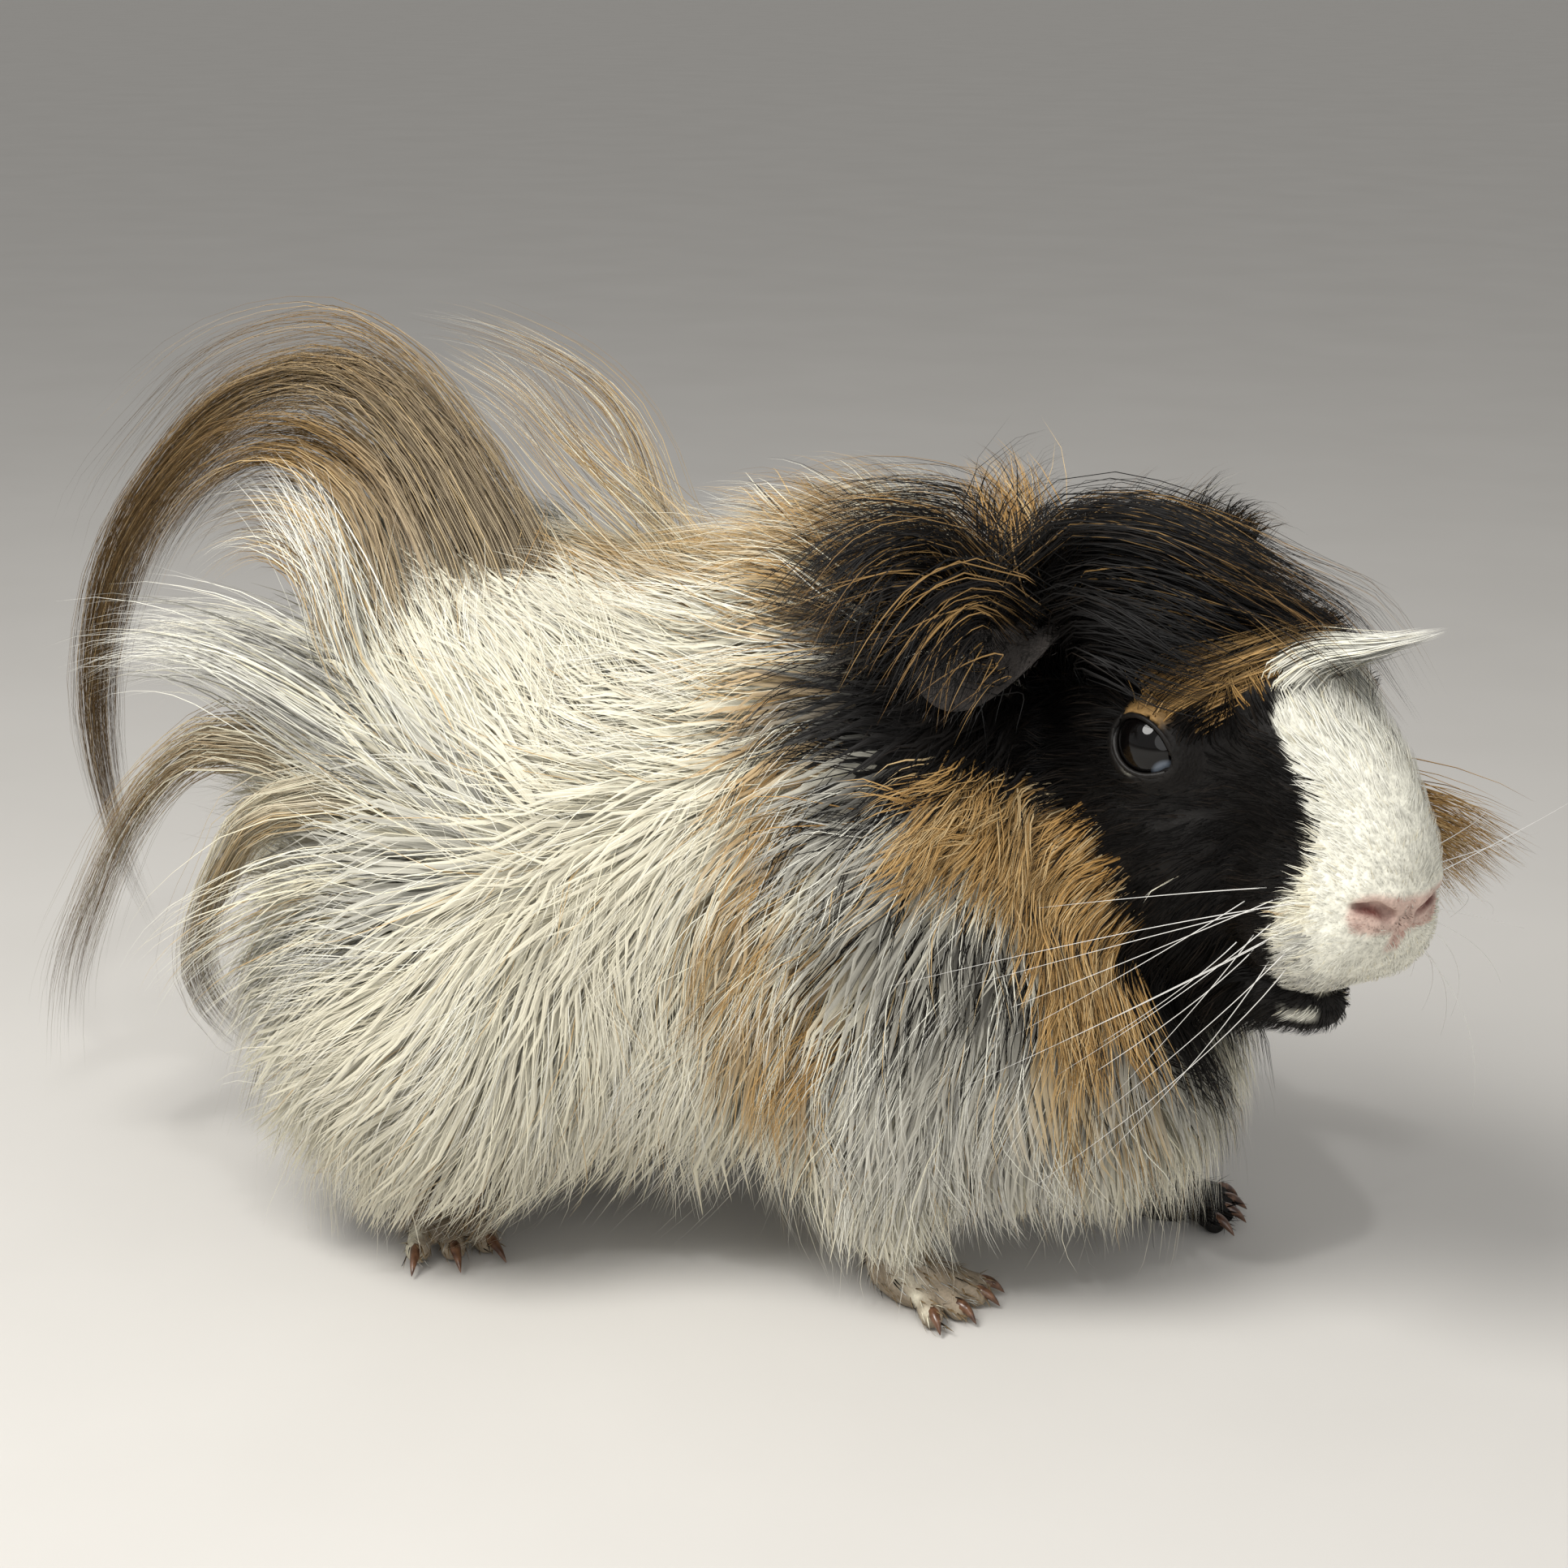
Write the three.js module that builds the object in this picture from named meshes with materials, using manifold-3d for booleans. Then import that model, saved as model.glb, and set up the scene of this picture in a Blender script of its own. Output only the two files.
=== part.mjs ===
// A long-haired guinea pig with rosettes in its coat, life size, standing on its four feet with
// its head turned to its right. Lengths are in millimetres. +X is forward, +Y is the animal's
// left, +Z is up and the floor is z = 0. Every solid reaches out to the tips of the coat over it.
import * as THREE from 'three';
import { mergeVertices } from 'three/addons/utils/BufferGeometryUtils.js';
import Module from 'manifold-3d';

const wasm = await Module();
wasm.setup();

const GAP = 0.3;          // clearance between two solids that meet
const BLEND = 14;         // how softly neighbouring swellings of the body run together
const HEAD_BLEND = 7;     // the same for the smaller forms of the head
const DEGREES = Math.PI / 180;
const LEFT = 1;
const RIGHT = -1;
const SIDES = { left: LEFT, right: RIGHT };

// ---------------------------------------------------------------- colours

const COAT = {
  cream: 0xe8e4d4,
  white: 0xeeeae0,
  black: 0x1c1918,
  orange: 0xb98a52,
  golden: 0x8b7048,
  roan: 0x8f8a82,
  grey: 0xa9a79f,
};
const CLAW_COLOUR = 0x6f4630;
const EAR_COLOUR = 0x3b3735;
const EYE_COLOUR = 0x0a0807;

// ---------------------------------------------------------------- driving dimensions

// Swellings of the body: centre, half-sizes of the flesh, and the depth of coat over it.
const BARREL = { at: [-15, 0, 72], half: [54, 41, 40], coat: 15 };
const BELLY = { at: [-8, 0, 44], half: [46, 34, 18], coat: 14 };
const RUMP = { at: [-44, 0, 68], half: [33, 38, 42], coat: 15 };
const SHOULDERS = { at: [24, -2, 72], half: [32, 37, 39], coat: 15 };
const CHEST = { at: [45, -2, 48], half: [26, 31, 27], coat: 13 };
const NECK = { at: [17, -3, 90], half: [23, 32, 33], coat: 14 };
const BODY = [BARREL, BELLY, RUMP, SHOULDERS, CHEST, NECK];
const BODY_MIDDLE = [-8, -1, 68];
const RUMP_CUT = -52;      // station where the rump meets the trunk
const SHOULDER_CUT = 4;    // station where the trunk meets the shoulders
const NECK_CUT = { at: [22, 0, 96], lean: 26 * DEGREES };

const HAUNCH = { at: [-47, 33, 43], half: [21, 17, 22], coat: 11 };

// The head has its own frame at the midpoint between the eyes: +X to the nose, +Z to the crown.
const HEAD_AT = [78.8, -13.5, 101];
const HEAD_YAW = -38 * DEGREES;
const HEAD_PITCH = 8 * DEGREES;
const HEAD_ROLL = -3 * DEGREES;
const CRANIUM = { at: [-13, 0, 2], half: [26, 19, 20], coat: 4 };
const FOREHEAD = { at: [8, 0, 8], half: [15, 13, 13], coat: 3.5 };
const CHEEK = { at: [-7, 11, -15], half: [21, 12, 18], coat: 6 };
const SNOUT = { at: [18, 0, -1], half: [20, 12, 14], coat: 2 };
const MUZZLE = { at: [28, 0, -14], half: [11, 11.5, 14], coat: 1.5 };
const NOSE_PAD = { at: [35, 0, -9], half: [5, 7.5, 7], coat: 0.8 };
const WHISKER_PAD = { at: [27, 7, -19], half: [10.5, 7.5, 9], coat: 1.5 };
const JAW = { at: [17, 0, -30], half: [14, 9, 7], coat: 3 };
const THROAT = { at: [-2, 0, -24], half: [20, 15, 14], coat: 7 };
const HEAD = [CRANIUM, FOREHEAD, ...pair(CHEEK), SNOUT, MUZZLE, NOSE_PAD, ...pair(WHISKER_PAD),
  JAW, THROAT];
const HEAD_MIDDLE = [0, 0, -9];
const MUZZLE_CUT = 17;     // how far forward the muzzle starts
const JAW_CUT = -29;       // level of the mouth
const EYE = { at: [1.5, 18, 0.5], radius: 6, socket: 6.4 };

// A pinna: the line down its middle from root to tip on the left side, its half-sizes, and the
// direction along its free edge, which is higher in front.
const EAR = {
  midline: [[-30, 15, 11], [-31, 24, 10], [-33, 31, 4], [-33, 33, -2.5]],
  half: [12, 1.6],
  edge: [1, 0, 0.4],
};

// Limbs: joints from the shoulder or hip down, with the radius of the furred limb at each end.
const FORELEG = {
  left: { top: [48, 24, 46], wrist: [61, 21, 8], topRadius: 13, wristRadius: 5.5 },
  right: { top: [24, -25, 44], wrist: [27, -22, 9], topRadius: 14, wristRadius: 6.5 },
};
const HIND_SHANK = { top: [-56, 28, 34], heel: [-66, 24, 8], topRadius: 13, heelRadius: 6 };

const FOREPAW = {
  left: { wrist: [61, 21], yaw: 8 * DEGREES, toeYaws: [30, 10, -10, -32] },
  right: { wrist: [27, -22], yaw: -25 * DEGREES, toeYaws: [42, 24, -4, -30] },
  reach: 8.5,
  palm: [6.5, 6, 5],
  toeLength: 8,
  toeRadius: 2.5,
  clawLength: 4.2,
};
const HINDPAW = {
  left: { heel: [-66, 22], yaw: 42 * DEGREES, toeYaws: [30, 8, -14] },
  right: { heel: [-63, -16], yaw: -47 * DEGREES, toeYaws: [12, -8, -28] },
  reach: 20,
  palm: [8, 6.5, 5],
  toeLength: 8.5,
  toeRadius: 2.8,
  clawLength: 6.5,
};
const CLAW_RADIUS = 1.3;
const CLAW_TIP_HEIGHT = 0.8;
const SOLE_DEPTH = 0.5;    // how far a soft sole flattens against the floor
const PALM_PLACE = 0.55;   // where the palm's middle lies, as a share of the foot's reach
const KNUCKLE_PLACE = 0.75;
const KNUCKLE_SPREAD = 0.6; // share of a toe's turn that its knuckle already has

// Locks of long hair: the points that each follows from root to tip, its half-width and
// half-thickness at its fullest, and its colour. A long lock is made in two or three lengths.
const LOCKS = {
  plume_root: {
    path: [[-36, -8, 112], [-46, -10, 124], [-53, -9, 138]],
    half: [15, 12],
    colour: COAT.cream,
  },
  plume_rise: {
    path: [[-51, -7, 135], [-59, -7, 147], [-71, -5, 153.5], [-84, -4, 152]],
    half: [14, 7],
    colour: COAT.golden,
  },
  plume_arch: {
    path: [[-82, -4, 152], [-97, -3, 147], [-110, -4, 135], [-119, -6, 119]],
    half: [12, 6.5],
    colour: COAT.golden,
  },
  plume_fall: {
    path: [[-117, -6, 121], [-123, -7, 104], [-125, -9, 84], [-122, -11, 64]],
    half: [8, 5],
    colour: COAT.golden,
  },
  plume_inner_rise: {
    path: [[-56, -15, 106], [-63, -14, 122], [-71, -13, 132], [-82, -12, 137]],
    half: [9, 6],
    colour: COAT.golden,
  },
  plume_inner_fall: {
    path: [[-79, -12, 137.5], [-93, -11, 135], [-105, -11, 126], [-113, -11, 113]],
    half: [8, 4.5],
    colour: COAT.golden,
  },
  plume_front_rise: {
    path: [[-20, 2, 124], [-27, 5, 136], [-38, 8, 145], [-51, 8, 150]],
    half: [9, 4],
    colour: COAT.golden,
  },
  plume_front_fall: {
    path: [[-30, 15, 124], [-43, 15, 137], [-56, 14, 144], [-70, 12, 146]],
    half: [9, 5],
    colour: COAT.golden,
  },
  back_fan: {
    path: [[-60, -20, 92], [-74, -20, 101], [-89, -18, 105], [-104, -16, 103]],
    half: [15, 7],
    colour: COAT.grey,
  },
  rump_lock_left: {
    path: [[-68, 18, 88], [-82, 18, 92], [-96, 16, 84], [-106, 15, 68]],
    half: [12, 8],
    colour: COAT.grey,
  },
  tail_lock_rise: {
    path: [[-68, -30, 84], [-84, -28, 90], [-98, -23, 86], [-110, -18, 74]],
    half: [9, 6.5],
    colour: COAT.grey,
  },
  tail_lock_fall: {
    path: [[-108, -18, 77], [-122, -13, 60], [-134, -9, 40], [-142, -5, 20]],
    half: [6, 4.5],
    colour: COAT.golden,
  },
  tail_lock_tip: {
    path: [[-140.6, -4, 21], [-146, -1, 12], [-150, 2, 5]],
    half: [3, 2.4],
    colour: COAT.golden,
  },
  rump_curl_upper: {
    path: [[-60, -38, 74], [-72, -37, 78], [-84, -35, 72], [-92, -33, 59]],
    half: [10, 6],
    colour: COAT.cream,
  },
  rump_curl_lower: {
    path: [[-90.5, -34, 61], [-95, -32, 47], [-92, -31, 38], [-83, -31, 33]],
    half: [7, 4.5],
    colour: COAT.golden,
  },
  shoulder_crest: {
    path: [[0, -6, 122], [16, -8, 131], [32, -8, 134], [48, -10, 128]],
    half: [18, 5],
    colour: COAT.orange,
  },
  poll_crest: {
    path: [[28, -14, 126], [40, -12, 135], [53, -12, 136], [66, -12, 131]],
    half: [16, 5],
    colour: COAT.black,
  },
  forelock: {
    path: [[58, -14, 130], [73, -15, 131], [86, -18, 126], [98, -22, 118]],
    half: [16, 5],
    colour: COAT.black,
  },
  brow_tuft: {
    path: [[91, -30, 119], [99, -32, 123.5], [106, -33, 126], [112, -34, 128]],
    half: [3.5, 2.4],
    colour: COAT.white,
  },
  cheek_tuft_left: {
    path: [[82, 8, 88], [93, 8, 84], [103, 7, 79], [111, 6, 74]],
    half: [9, 6],
    colour: COAT.orange,
  },
  cheek_ruff_left: {
    path: [[62, 18, 104], [68, 25, 92], [75, 25, 78], [81, 21, 66]],
    half: [9, 6],
    colour: COAT.orange,
  },
};

// ---------------------------------------------------------------- meshes

function coatMaterial(colour) {
  return new THREE.MeshStandardMaterial({ color: colour, roughness: 0.75, metalness: 0 });
}

function mesh(name, geometry, material) {
  const made = new THREE.Mesh(geometry, material);
  made.name = name;
  return made;
}

// ---------------------------------------------------------------- solids and booleans

// The same swelling on the animal's left and on its right.
function pair(swelling) {
  return [LEFT, RIGHT].map((side) => onSide(swelling, side));
}

function onSide(swelling, side) {
  const [x, y, z] = swelling.at;
  return { ...swelling, at: [x, side * y, z] };
}

function toSolid(geometry) {
  const bare = geometry.clone();
  bare.deleteAttribute('normal');
  bare.deleteAttribute('uv');
  const merged = mergeVertices(bare);
  const vertProperties = new Float32Array(merged.attributes.position.array);
  const triVerts = new Uint32Array(merged.index.array);
  return new wasm.Manifold(new wasm.Mesh({ numProp: 3, vertProperties, triVerts }));
}

function toGeometry(solid) {
  const { vertProperties, triVerts } = solid.getMesh();
  const geometry = new THREE.BufferGeometry();
  geometry.setAttribute('position', new THREE.BufferAttribute(vertProperties, 3));
  geometry.setIndex(new THREE.BufferAttribute(triVerts, 1));
  geometry.computeVertexNormals();
  return geometry;
}

function joined(solids) {
  return solids.reduce((all, solid) => all.add(solid));
}

function without(solid, others) {
  return others.reduce((rest, other) => rest.subtract(other), solid);
}

// ---------------------------------------------------------------- swellings

// Distance, nearly, from a point to the coat over one swelling: with p the point in the
// swelling's frame and r its half-sizes, |p/r| (|p/r| - 1) / |p/r^2|.
function coatDistance(swelling, point) {
  let scaled = 0;
  let slope = 0;
  point.forEach((value, axis) => {
    const half = swelling.half[axis] + swelling.coat;
    const share = (value - swelling.at[axis]) / half;
    scaled += share * share;
    slope += (share / half) ** 2;
  });
  const length = Math.sqrt(scaled);
  return length * (length - 1) / Math.sqrt(slope);
}

function softMinimum(first, second, blend) {
  const overlap = Math.max(blend - Math.abs(first - second), 0) / blend;
  return Math.min(first, second) - overlap * overlap * blend / 4;
}

function fieldAt(swellings, point, blend) {
  return swellings
    .map((swelling) => coatDistance(swelling, point))
    .reduce((nearest, next) => softMinimum(nearest, next, blend));
}

// One closed skin round all the swellings: each point of a sphere slides in along its own ray
// from far outside until it meets the coat, grown by a clearance.
function blob(swellings, middle, { blend, grow = 0, rings, sides }) {
  const outside = 200;
  const caution = 0.7;
  const closeEnough = 0.02;
  const shape = new THREE.SphereGeometry(1, sides, rings).rotateZ(-Math.PI / 2);
  const { position } = shape.attributes;
  const ray = new THREE.Vector3();
  const origin = new THREE.Vector3(...middle);
  for (let i = 0; i < position.count; i += 1) {
    ray.fromBufferAttribute(position, i).normalize();
    let reach = outside;
    let clear = Infinity;
    while (clear > closeEnough) {
      const spot = origin.clone().addScaledVector(ray, reach);
      clear = fieldAt(swellings, spot.toArray(), blend) - grow;
      reach -= caution * clear;
    }
    const met = origin.clone().addScaledVector(ray, reach);
    position.setXYZ(i, met.x, met.y, met.z);
  }
  return toSolid(shape);
}

// ---------------------------------------------------------------- spindles: locks, toes, claws

// A closed spindle bent along a curve: a sphere whose latitude runs along the curve and whose
// longitude runs round it. The section is an ellipse with the given half-width, measured along
// `across`, and half-thickness; `fullness` from 0 at the root to 1 at the tip scales both.
function spindle(points, [halfWidth, halfThickness], {
  across = [0, 1, 0], rows = 7, sides = 6, fullness = lockFullness,
} = {}) {
  const curve = new THREE.CatmullRomCurve3(points.map((point) => new THREE.Vector3(...point)));
  const shape = new THREE.SphereGeometry(1, sides, rows);
  const { position } = shape.attributes;
  const unit = new THREE.Vector3();
  for (let i = 0; i < position.count; i += 1) {
    unit.fromBufferAttribute(position, i);
    const along = Math.acos(THREE.MathUtils.clamp(unit.y, -1, 1)) / Math.PI;
    const round = Math.hypot(unit.x, unit.z);
    const turn = round > 1e-6 ? [unit.x / round, unit.z / round] : [0, 0];
    const tangent = curve.getTangentAt(along);
    const side = new THREE.Vector3(...across);
    side.addScaledVector(tangent, -side.dot(tangent)).normalize();
    const up = new THREE.Vector3().crossVectors(tangent, side);
    const spot = curve.getPointAt(along)
      .addScaledVector(side, turn[0] * halfWidth * fullness(along))
      .addScaledVector(up, turn[1] * halfThickness * fullness(along));
    position.setXYZ(i, spot.x, spot.y, spot.z);
  }
  return toSolid(shape);
}

// Round at both ends, over `ends` of the length.
function rounding(along, ends) {
  return Math.sqrt(Math.min(1, along / ends, (1 - along) / ends));
}

function lockFullness(along) {
  const endFullness = 0.75;
  const swell = endFullness + (1 - endFullness) * Math.sin(Math.PI * along);
  return rounding(along, 1 / 8) * swell;
}

function toeFullness(along) {
  return Math.sqrt(Math.max(0, 1 - (2 * along - 1) ** 4));
}

function clawFullness(along) {
  const tipFullness = 0.2;
  return rounding(along, 1 / 6) * (1 - (1 - tipFullness) * along);
}

// A quarter circle of a lathe profile, starting at an angle, about a point on the axis.
function roundEnd(radius, height, startAngle, steps) {
  const points = [];
  for (let i = 0; i <= steps; i += 1) {
    const angle = startAngle + i * Math.PI / 2 / steps;
    points.push(new THREE.Vector2(radius * Math.cos(angle), height + radius * Math.sin(angle)));
  }
  return points;
}

// A limb between two joints: a tapered cylinder with round ends, turned on its own axis.
function limb(from, to, fromRadius, toRadius) {
  const start = new THREE.Vector3(...from);
  const end = new THREE.Vector3(...to);
  const length = start.distanceTo(end);
  const steps = 2;
  const sides = 9;
  const lowerEnd = roundEnd(fromRadius, 0, -Math.PI / 2, steps);
  const upperEnd = roundEnd(toRadius, length, 0, steps);
  const profile = [...lowerEnd, ...upperEnd];
  profile[0].x = 0;
  profile[profile.length - 1].x = 0;
  const shape = new THREE.LatheGeometry(profile, sides);
  const turn = new THREE.Quaternion().setFromUnitVectors(
    new THREE.Vector3(0, 1, 0), end.clone().sub(start).normalize());
  shape.applyQuaternion(turn).translate(...from);
  return toSolid(shape);
}

// Keeps what is above the floor.
function onFloor(solid) {
  return solid.trimByPlane([0, 0, 1], 0);
}

// ---------------------------------------------------------------- feet

// A point `reach` in front of a foot's root, turned by its yaw, at a height.
function ahead([x, y], yaw, reach, height) {
  return [x + reach * Math.cos(yaw), y + reach * Math.sin(yaw), height];
}

// One foot: a palm, its toes pressed flat on the floor, and one claw ahead of each toe.
function foot(root, heelRadius, form, placing, grow) {
  const palmAt = ahead(root, placing.yaw, form.reach * PALM_PLACE, form.palm[2] - SOLE_DEPTH);
  const palm = toSolid(new THREE.SphereGeometry(1, 9, 5)
    .scale(...form.palm.map((half) => half + grow)).rotateZ(placing.yaw).translate(...palmAt));
  const sole = limb([root[0], root[1], heelRadius - SOLE_DEPTH], palmAt, heelRadius + grow,
    form.palm[2] - SOLE_DEPTH + grow);
  const toes = [];
  const claws = [];
  placing.toeYaws.forEach((turn) => {
    const yaw = placing.yaw + turn * DEGREES;
    const knuckleYaw = placing.yaw + KNUCKLE_SPREAD * turn * DEGREES;
    const knuckleHeight = form.toeRadius + 1;
    const knuckle = ahead(root, knuckleYaw, form.reach * KNUCKLE_PLACE, knuckleHeight);
    const toeTip = ahead(knuckle, yaw, form.toeLength, form.toeRadius - SOLE_DEPTH);
    toes.push(toePiece(knuckle, toeTip, yaw, form.toeRadius + grow));
    claws.push(claw(toeTip, yaw, form, CLAW_RADIUS + grow));
  });
  const pad = joined([palm, sole, ...toes]);
  return { pad: onFloor(pad), claws: claws.map(onFloor) };
}

function toePiece(knuckle, tip, yaw, radius) {
  const middle = knuckle.map((value, axis) => (value + tip[axis]) / 2);
  middle[2] += radius * 0.25;
  const across = [-Math.sin(yaw), Math.cos(yaw), 0];
  return spindle([knuckle, middle, tip], [radius, radius], {
    across, rows: 3, sides: 6, fullness: toeFullness,
  });
}

function claw(toeTip, yaw, form, radius) {
  const rootHeight = form.toeRadius;
  const start = ahead(toeTip, yaw, -1, rootHeight);
  const middle = ahead(toeTip, yaw, form.clawLength / 2, rootHeight);
  const tip = ahead(toeTip, yaw, form.clawLength, CLAW_TIP_HEIGHT);
  const across = [-Math.sin(yaw), Math.cos(yaw), 0];
  return spindle([start, middle, tip], [radius, radius], {
    across, rows: 4, sides: 5, fullness: clawFullness,
  });
}

// ---------------------------------------------------------------- the head

function headFrame() {
  const group = new THREE.Group();
  group.position.set(...HEAD_AT);
  group.rotation.set(HEAD_ROLL, HEAD_PITCH, HEAD_YAW, 'ZYX');
  group.updateMatrix();
  return group;
}

function earSolid(side, grow) {
  const points = EAR.midline.map(([x, y, z]) => [x, side * y, z]);
  return spindle(points, EAR.half.map((half) => half + grow), {
    across: EAR.edge, rows: 8, sides: 10, fullness: toeFullness,
  });
}

function eyeSolid(side, radius) {
  const rings = 6;
  const [x, y, z] = EYE.at;
  return toSolid(new THREE.SphereGeometry(radius, 2 * rings, rings).translate(x, side * y, z));
}

// ---------------------------------------------------------------- placing the solids

// Solids are placed in order of importance: each gives way to a slightly grown copy of every
// solid placed before it, so that neighbours meet with a small gap and never overlap.
class Placing {
  constructor() {
    this.taken = [];
  }

  take(solid, grown) {
    const own = largest(without(solid, this.taken));
    this.taken.push(grown);
    return own;
  }
}

function largest(solid) {
  const pieces = solid.decompose();
  return pieces.reduce((best, piece) => (piece.volume() > best.volume() ? piece : best));
}

// The head, muzzle, lower jaw, eyes and ears, all in the head's own frame.
function buildHead(group) {
  const placing = new Placing();
  const detail = { blend: HEAD_BLEND, rings: 18, sides: 20 };
  const { black, white } = COAT;
  for (const [name, side] of Object.entries(SIDES)) {
    const eye = placing.take(eyeSolid(side, EYE.radius), eyeSolid(side, EYE.socket));
    const gloss = new THREE.MeshStandardMaterial({ color: EYE_COLOUR, roughness: 0.05 });
    group.add(mesh(`eye_${name}`, toGeometry(eye), gloss));
  }
  const grown = blob(HEAD, HEAD_MIDDLE, { ...detail, grow: GAP });
  const whole = placing.take(blob(HEAD, HEAD_MIDDLE, detail), grown);
  const half = GAP / 2;
  const front = whole.trimByPlane([1, 0, 0], MUZZLE_CUT + half);
  const rear = whole.trimByPlane([-1, 0, 0], half - MUZZLE_CUT);
  const muzzle = front.trimByPlane([0, 0, 1], JAW_CUT + half);
  const jaw = front.trimByPlane([0, 0, -1], half - JAW_CUT);
  group.add(mesh('head', toGeometry(rear), coatMaterial(black)));
  group.add(mesh('muzzle', toGeometry(muzzle), coatMaterial(white)));
  group.add(mesh('lower_jaw', toGeometry(jaw), coatMaterial(white)));
  for (const [name, side] of Object.entries(SIDES)) {
    const ear = placing.take(earSolid(side, 0), earSolid(side, GAP));
    const felt = new THREE.MeshStandardMaterial({ color: EAR_COLOUR, roughness: 0.9 });
    group.add(mesh(`ear_${name}`, toGeometry(ear), felt));
  }
  return placing.taken.map((solid) => solid.transform([...group.matrix.elements]));
}

function buildFoot(group, placing, name, form, placingOfFoot, root, heelRadius) {
  const made = foot(root, heelRadius, form, placingOfFoot, 0);
  const grown = foot(root, heelRadius, form, placingOfFoot, GAP);
  made.claws.forEach((solid, i) => {
    const horn = new THREE.MeshStandardMaterial({ color: CLAW_COLOUR, roughness: 0.35 });
    const piece = placing.take(solid, grown.claws[i]);
    group.add(mesh(`${name}_claw_${i + 1}`, toGeometry(piece), horn));
  });
  const pad = placing.take(made.pad, grown.pad);
  group.add(mesh(name, toGeometry(pad), coatMaterial(COAT.golden)));
}

function buildLegs(group, placing) {
  for (const [name, side] of Object.entries(SIDES)) {
    const { top, wrist, topRadius, wristRadius } = FORELEG[name];
    buildFoot(group, placing, `forepaw_${name}`, FOREPAW, FOREPAW[name], wrist, wristRadius);
    const arm = placing.take(limb(top, wrist, topRadius, wristRadius),
      limb(top, wrist, topRadius + GAP, wristRadius + GAP));
    group.add(mesh(`foreleg_${name}`, toGeometry(onFloor(arm)), coatMaterial(COAT.roan)));

    const { topRadius: hipRadius, heelRadius } = HIND_SHANK;
    const hip = [HIND_SHANK.top[0], side * HIND_SHANK.top[1], HIND_SHANK.top[2]];
    const heel = [...HINDPAW[name].heel, HIND_SHANK.heel[2]];
    buildFoot(group, placing, `hindpaw_${name}`, HINDPAW, HINDPAW[name], heel, heelRadius);
    const shank = placing.take(limb(hip, heel, hipRadius, heelRadius),
      limb(hip, heel, hipRadius + GAP, heelRadius + GAP));
    group.add(mesh(`hindleg_${name}`, toGeometry(onFloor(shank)), coatMaterial(COAT.cream)));

    const thigh = [onSide(HAUNCH, side)];
    const middle = thigh[0].at;
    const detail = { blend: BLEND, rings: 8, sides: 12 };
    const haunch = placing.take(blob(thigh, middle, detail),
      blob(thigh, middle, { ...detail, grow: GAP }));
    group.add(mesh(`haunch_${name}`, toGeometry(haunch), coatMaterial(COAT.cream)));
  }
}

function buildBody(group, placing) {
  const detail = { blend: BLEND, rings: 18, sides: 22 };
  const whole = placing.take(blob(BODY, BODY_MIDDLE, detail),
    blob(BODY, BODY_MIDDLE, { ...detail, grow: GAP }));
  const half = GAP / 2;
  const lean = [Math.cos(NECK_CUT.lean), 0, Math.sin(NECK_CUT.lean)];
  const neckOffset = new THREE.Vector3(...lean).dot(new THREE.Vector3(...NECK_CUT.at));
  const neck = whole.trimByPlane(lean, neckOffset + half);
  const torso = whole.trimByPlane(lean.map((value) => -value), half - neckOffset);
  const shoulders = torso.trimByPlane([1, 0, 0], SHOULDER_CUT + half);
  const behind = torso.trimByPlane([-1, 0, 0], half - SHOULDER_CUT);
  const trunk = behind.trimByPlane([1, 0, 0], RUMP_CUT + half);
  const rump = behind.trimByPlane([-1, 0, 0], half - RUMP_CUT);
  const { orange, roan, cream } = COAT;
  group.add(mesh('neck', toGeometry(largest(neck)), coatMaterial(orange)));
  group.add(mesh('shoulders', toGeometry(largest(shoulders)), coatMaterial(roan)));
  group.add(mesh('trunk', toGeometry(largest(trunk)), coatMaterial(cream)));
  group.add(mesh('rump', toGeometry(largest(rump)), coatMaterial(cream)));
}

function buildLocks(group, placing) {
  for (const [name, { path, half, colour }] of Object.entries(LOCKS)) {
    const lock = placing.take(spindle(path, half),
      spindle(path, half.map((value) => value + GAP)));
    group.add(mesh(name, toGeometry(lock), coatMaterial(colour)));
  }
}

// The whole animal, moved so that its box stands on the floor, centred on the origin.
function buildAnimal() {
  const animal = new THREE.Group();
  const head = headFrame();
  const placing = new Placing();
  placing.taken.push(...buildHead(head));
  animal.add(head);
  buildLegs(animal, placing);
  buildBody(animal, placing);
  buildLocks(animal, placing);
  const everyVertex = true;
  const box = new THREE.Box3().setFromObject(animal, everyVertex);
  const middle = box.getCenter(new THREE.Vector3());
  animal.position.set(-middle.x, -middle.y, -box.min.z);
  return animal;
}

export default buildAnimal();
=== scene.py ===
"""A long-haired guinea pig with rosettes in its coat, standing on four feet.

One skin is the zero level of a distance field: swellings of flesh that melt into each other.
The coat is solid mesh. Each strand roots on the skin, follows the lie of the coat and draws
together with its neighbours into a lock. Everything is worked out in millimetres in the
animal's own frame (+X forward, +Y its left, +Z up, the floor at 0), and moved into the frame
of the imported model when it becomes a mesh.
"""

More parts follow.
